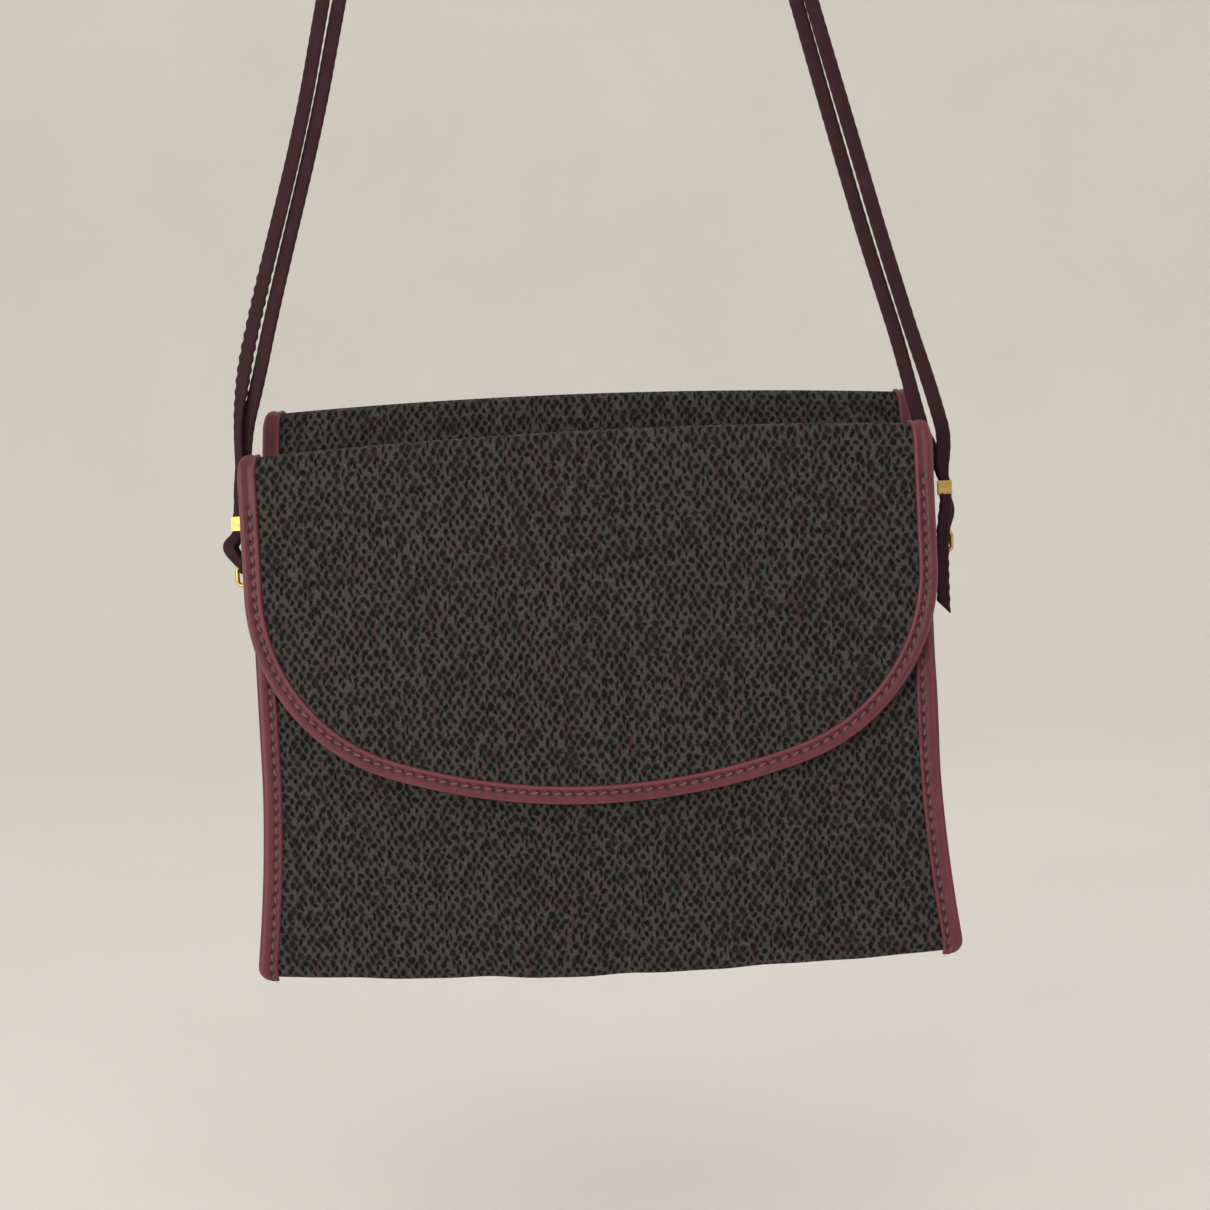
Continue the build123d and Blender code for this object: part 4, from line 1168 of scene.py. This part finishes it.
def make_strand(name, front):
    """One strand, with the puckered edge that the front one has above the left keeper."""
    centers, across, along = strand_course(front)
    scallop = 0.12 + 0.4 * front * rise(along, 30, 50) * (1 - rise(along, 90, 115))
    from_keeper = np.minimum(along, along[-1] - along) - KEEPER_H
    wide = STRAND_KEPT_W + (STRAND_W + 0.5 - STRAND_KEPT_W) * rise(from_keeper, 0, 12)
    sections = ribbon(centers, across, wide, STRAND_T, along, scallop)
    strand = tube(f"strap_{name}_leather", sections, strap_leather)
    dress(strand, "strap", "strap_leather", f"strap_strand_{name}")


def make_loop(word, bulge):
    """One end loop, narrower where it passes through the ring."""
    course, _, along = loop_course(SIDES[word], bulge)
    across = np.tile(np.array([[1.0, 0, 0]]), (len(course), 1))
    wide = STRAND_KEPT_W + 0.8 * rise(-course[:, 2], 543, 548) - 1.0 * rise(-course[:, 2], 549, 556)
    sections = ribbon(course, across, wide, LOOP_THICK + 0 * along, along)
    loop = tube(f"strap_loop_leather_{word}", sections, strap_leather)
    dress(loop, "strap", "strap_leather", f"strap_loop_{word}")


def make_tail():
    """The strap's loose end, cut to a slanting point."""
    course, _, along = smooth_course(np.array(TAIL_COURSE), 0.7)
    across = np.tile([[1.0, 0, 0]], (len(course), 1))
    wide = STRAND_KEPT_W + (STRAND_W - STRAND_KEPT_W) * rise(along, 0, 8)
    sections = ribbon(course, across, wide, STRAND_T, along, 0.3 * np.ones_like(along))
    cut_x, cut_z, slope = TAIL_CUT
    sections[..., 2] = np.maximum(sections[..., 2], cut_z - (sections[..., 0] - cut_x) * slope)
    dress(tube("strap_tail_leather", sections, strap_leather), "strap", "strap_leather", "strap_tail")


make_strand("front", True)
make_strand("rear", False)
for word, bulge in LOOP_BULGES.items():
    make_loop(word, bulge)
make_tail()


# ---------------- mouth binding, pocket and zip
# Points are (down from the front panel's top edge, out of its face).
MOUTH_PROFILE = [
    (5.2, -0.05), (5.0, 0.5), (4.0, 0.85), (2.8, 0.7), (1.4, 0.95), (0.2, 0.9), (-0.6, 0.3), (-0.85, -1.1),
    (-0.6, -2.5), (0.2, -3.1), (1.4, -3.15), (2.8, -2.9), (4.0, -3.05), (5.0, -2.7), (5.2, -2.15),
    (0.0, -2.2), (0.0, 0.0),
]


def make_mouth_binding():
    """Leather folded over the front panel's top edge, swelling between its stitches."""
    line = np.array([(-MOUTH_BINDING_HALF, MOUTH_Z), (MOUTH_BINDING_HALF, MOUTH_Z)])
    even, _, along = resample(line, STITCH / 6)
    down, out = np.array(MOUTH_PROFILE).T
    swell = 0.5 + 0.5 * np.cos(2 * math.pi * along / STITCH)
    x = even[:, None, 0] + 0 * down[None, :]
    y = FRONT_Y - out[None, :] * (1 + 0.12 * (out[None, :] > 0.6) * swell[:, None])
    z = even[:, None, 1] - down[None, :]
    mouth = tube("mouth_leather", settle(np.stack([x, y, z], axis=-1)), binding)
    dress(mouth, "bag", "burgundy_leather", "mouth_binding")


def make_flat_cloth(name, node, material):
    """A flat piece of cloth on the back lining."""
    low, high = box(node)
    x, z = np.meshgrid(np.linspace(low[0], high[0], 90), np.linspace(high[2], low[2], 40))
    outer = np.stack([x, low[1] + 0 * x, z], axis=-1)
    piece = slab(name, outer, outer + [0, LINING, 0], np.stack([x, z, 0 * x], axis=-1), material)
    dress(piece, "bag", "lining_fabric", node)


TOOTH_PITCH = 2.0           # from one tooth to the next in the same row
TOOTH_SHIFT = 0.75          # a row's distance from the zip's middle line
TOOTH_SIZE = (0.42, 0.5, 1.1)
TOOTH_FACES = [(0, 1, 3, 2), (4, 6, 7, 5), (0, 4, 5, 1), (2, 3, 7, 6), (0, 2, 6, 4), (1, 5, 7, 3)]


def make_teeth():
    """Two rows of small metal teeth that mesh with each other."""
    low, high = box("zip_teeth")
    middle = (low + high) / 2
    corners = np.array([(a, b, c) for a in (-1, 1) for b in (-1, 1) for c in (-1, 1)], float)
    points, faces = [], []
    for number in range(int((high[0] - low[0]) / TOOTH_PITCH * 2)):
        shift = TOOTH_SHIFT if number % 2 else -TOOTH_SHIFT
        center = np.array([low[0] + 0.5 + number * TOOTH_PITCH / 2, middle[1], middle[2] + shift])
        faces += [tuple(8 * number + i for i in face) for face in TOOTH_FACES]
        points.append(center + corners * np.array(TOOTH_SIZE))
    teeth = new_piece("zip_teeth_metal", np.concatenate(points), faces, gold)
    bevel = teeth.modifiers.new("bevel", "BEVEL")
    bevel.width = 0.15 * MM
    bevel.segments = 2
    dress(teeth, "bag", "gold_metal", "zip_teeth")


make_mouth_binding()
make_flat_cloth("pocket_cloth", "pocket_panel", lining)
make_flat_cloth("zip_tape_cloth", "zip_tape", tape)
make_teeth()


# ---------------- CAD pieces that stay
# Each has a material and the width of the bevel on its edges, in millimetres.
KEPT = {
    "keeper_left": (gold, 0.15),
    "keeper_right": (gold, 0.15),
    "ring_left": (gold, 0),
    "ring_right": (gold, 0),
    "tab_rivets": (gold, 0.2),
    "snap_socket": (gold, 0.35),
    "snap_stud": (gold, 0.35),
    "zip_slider": (gold, 0.25),
    "zip_pull": (gold, 0.25),
    "tab_left": (tab_leather, 0.25),
    "tab_right": (tab_leather, 0.25),
}


def finish_cad_part(node, material, width):
    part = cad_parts[node]
    part.data.materials.clear()
    part.data.materials.append(material)
    if width:
        bevel = part.modifiers.new("bevel", "BEVEL")
        bevel.width = width * MM
        bevel.segments = 3
        bevel.limit_method = "ANGLE"


for node, (material, width) in KEPT.items():
    finish_cad_part(node, material, width)
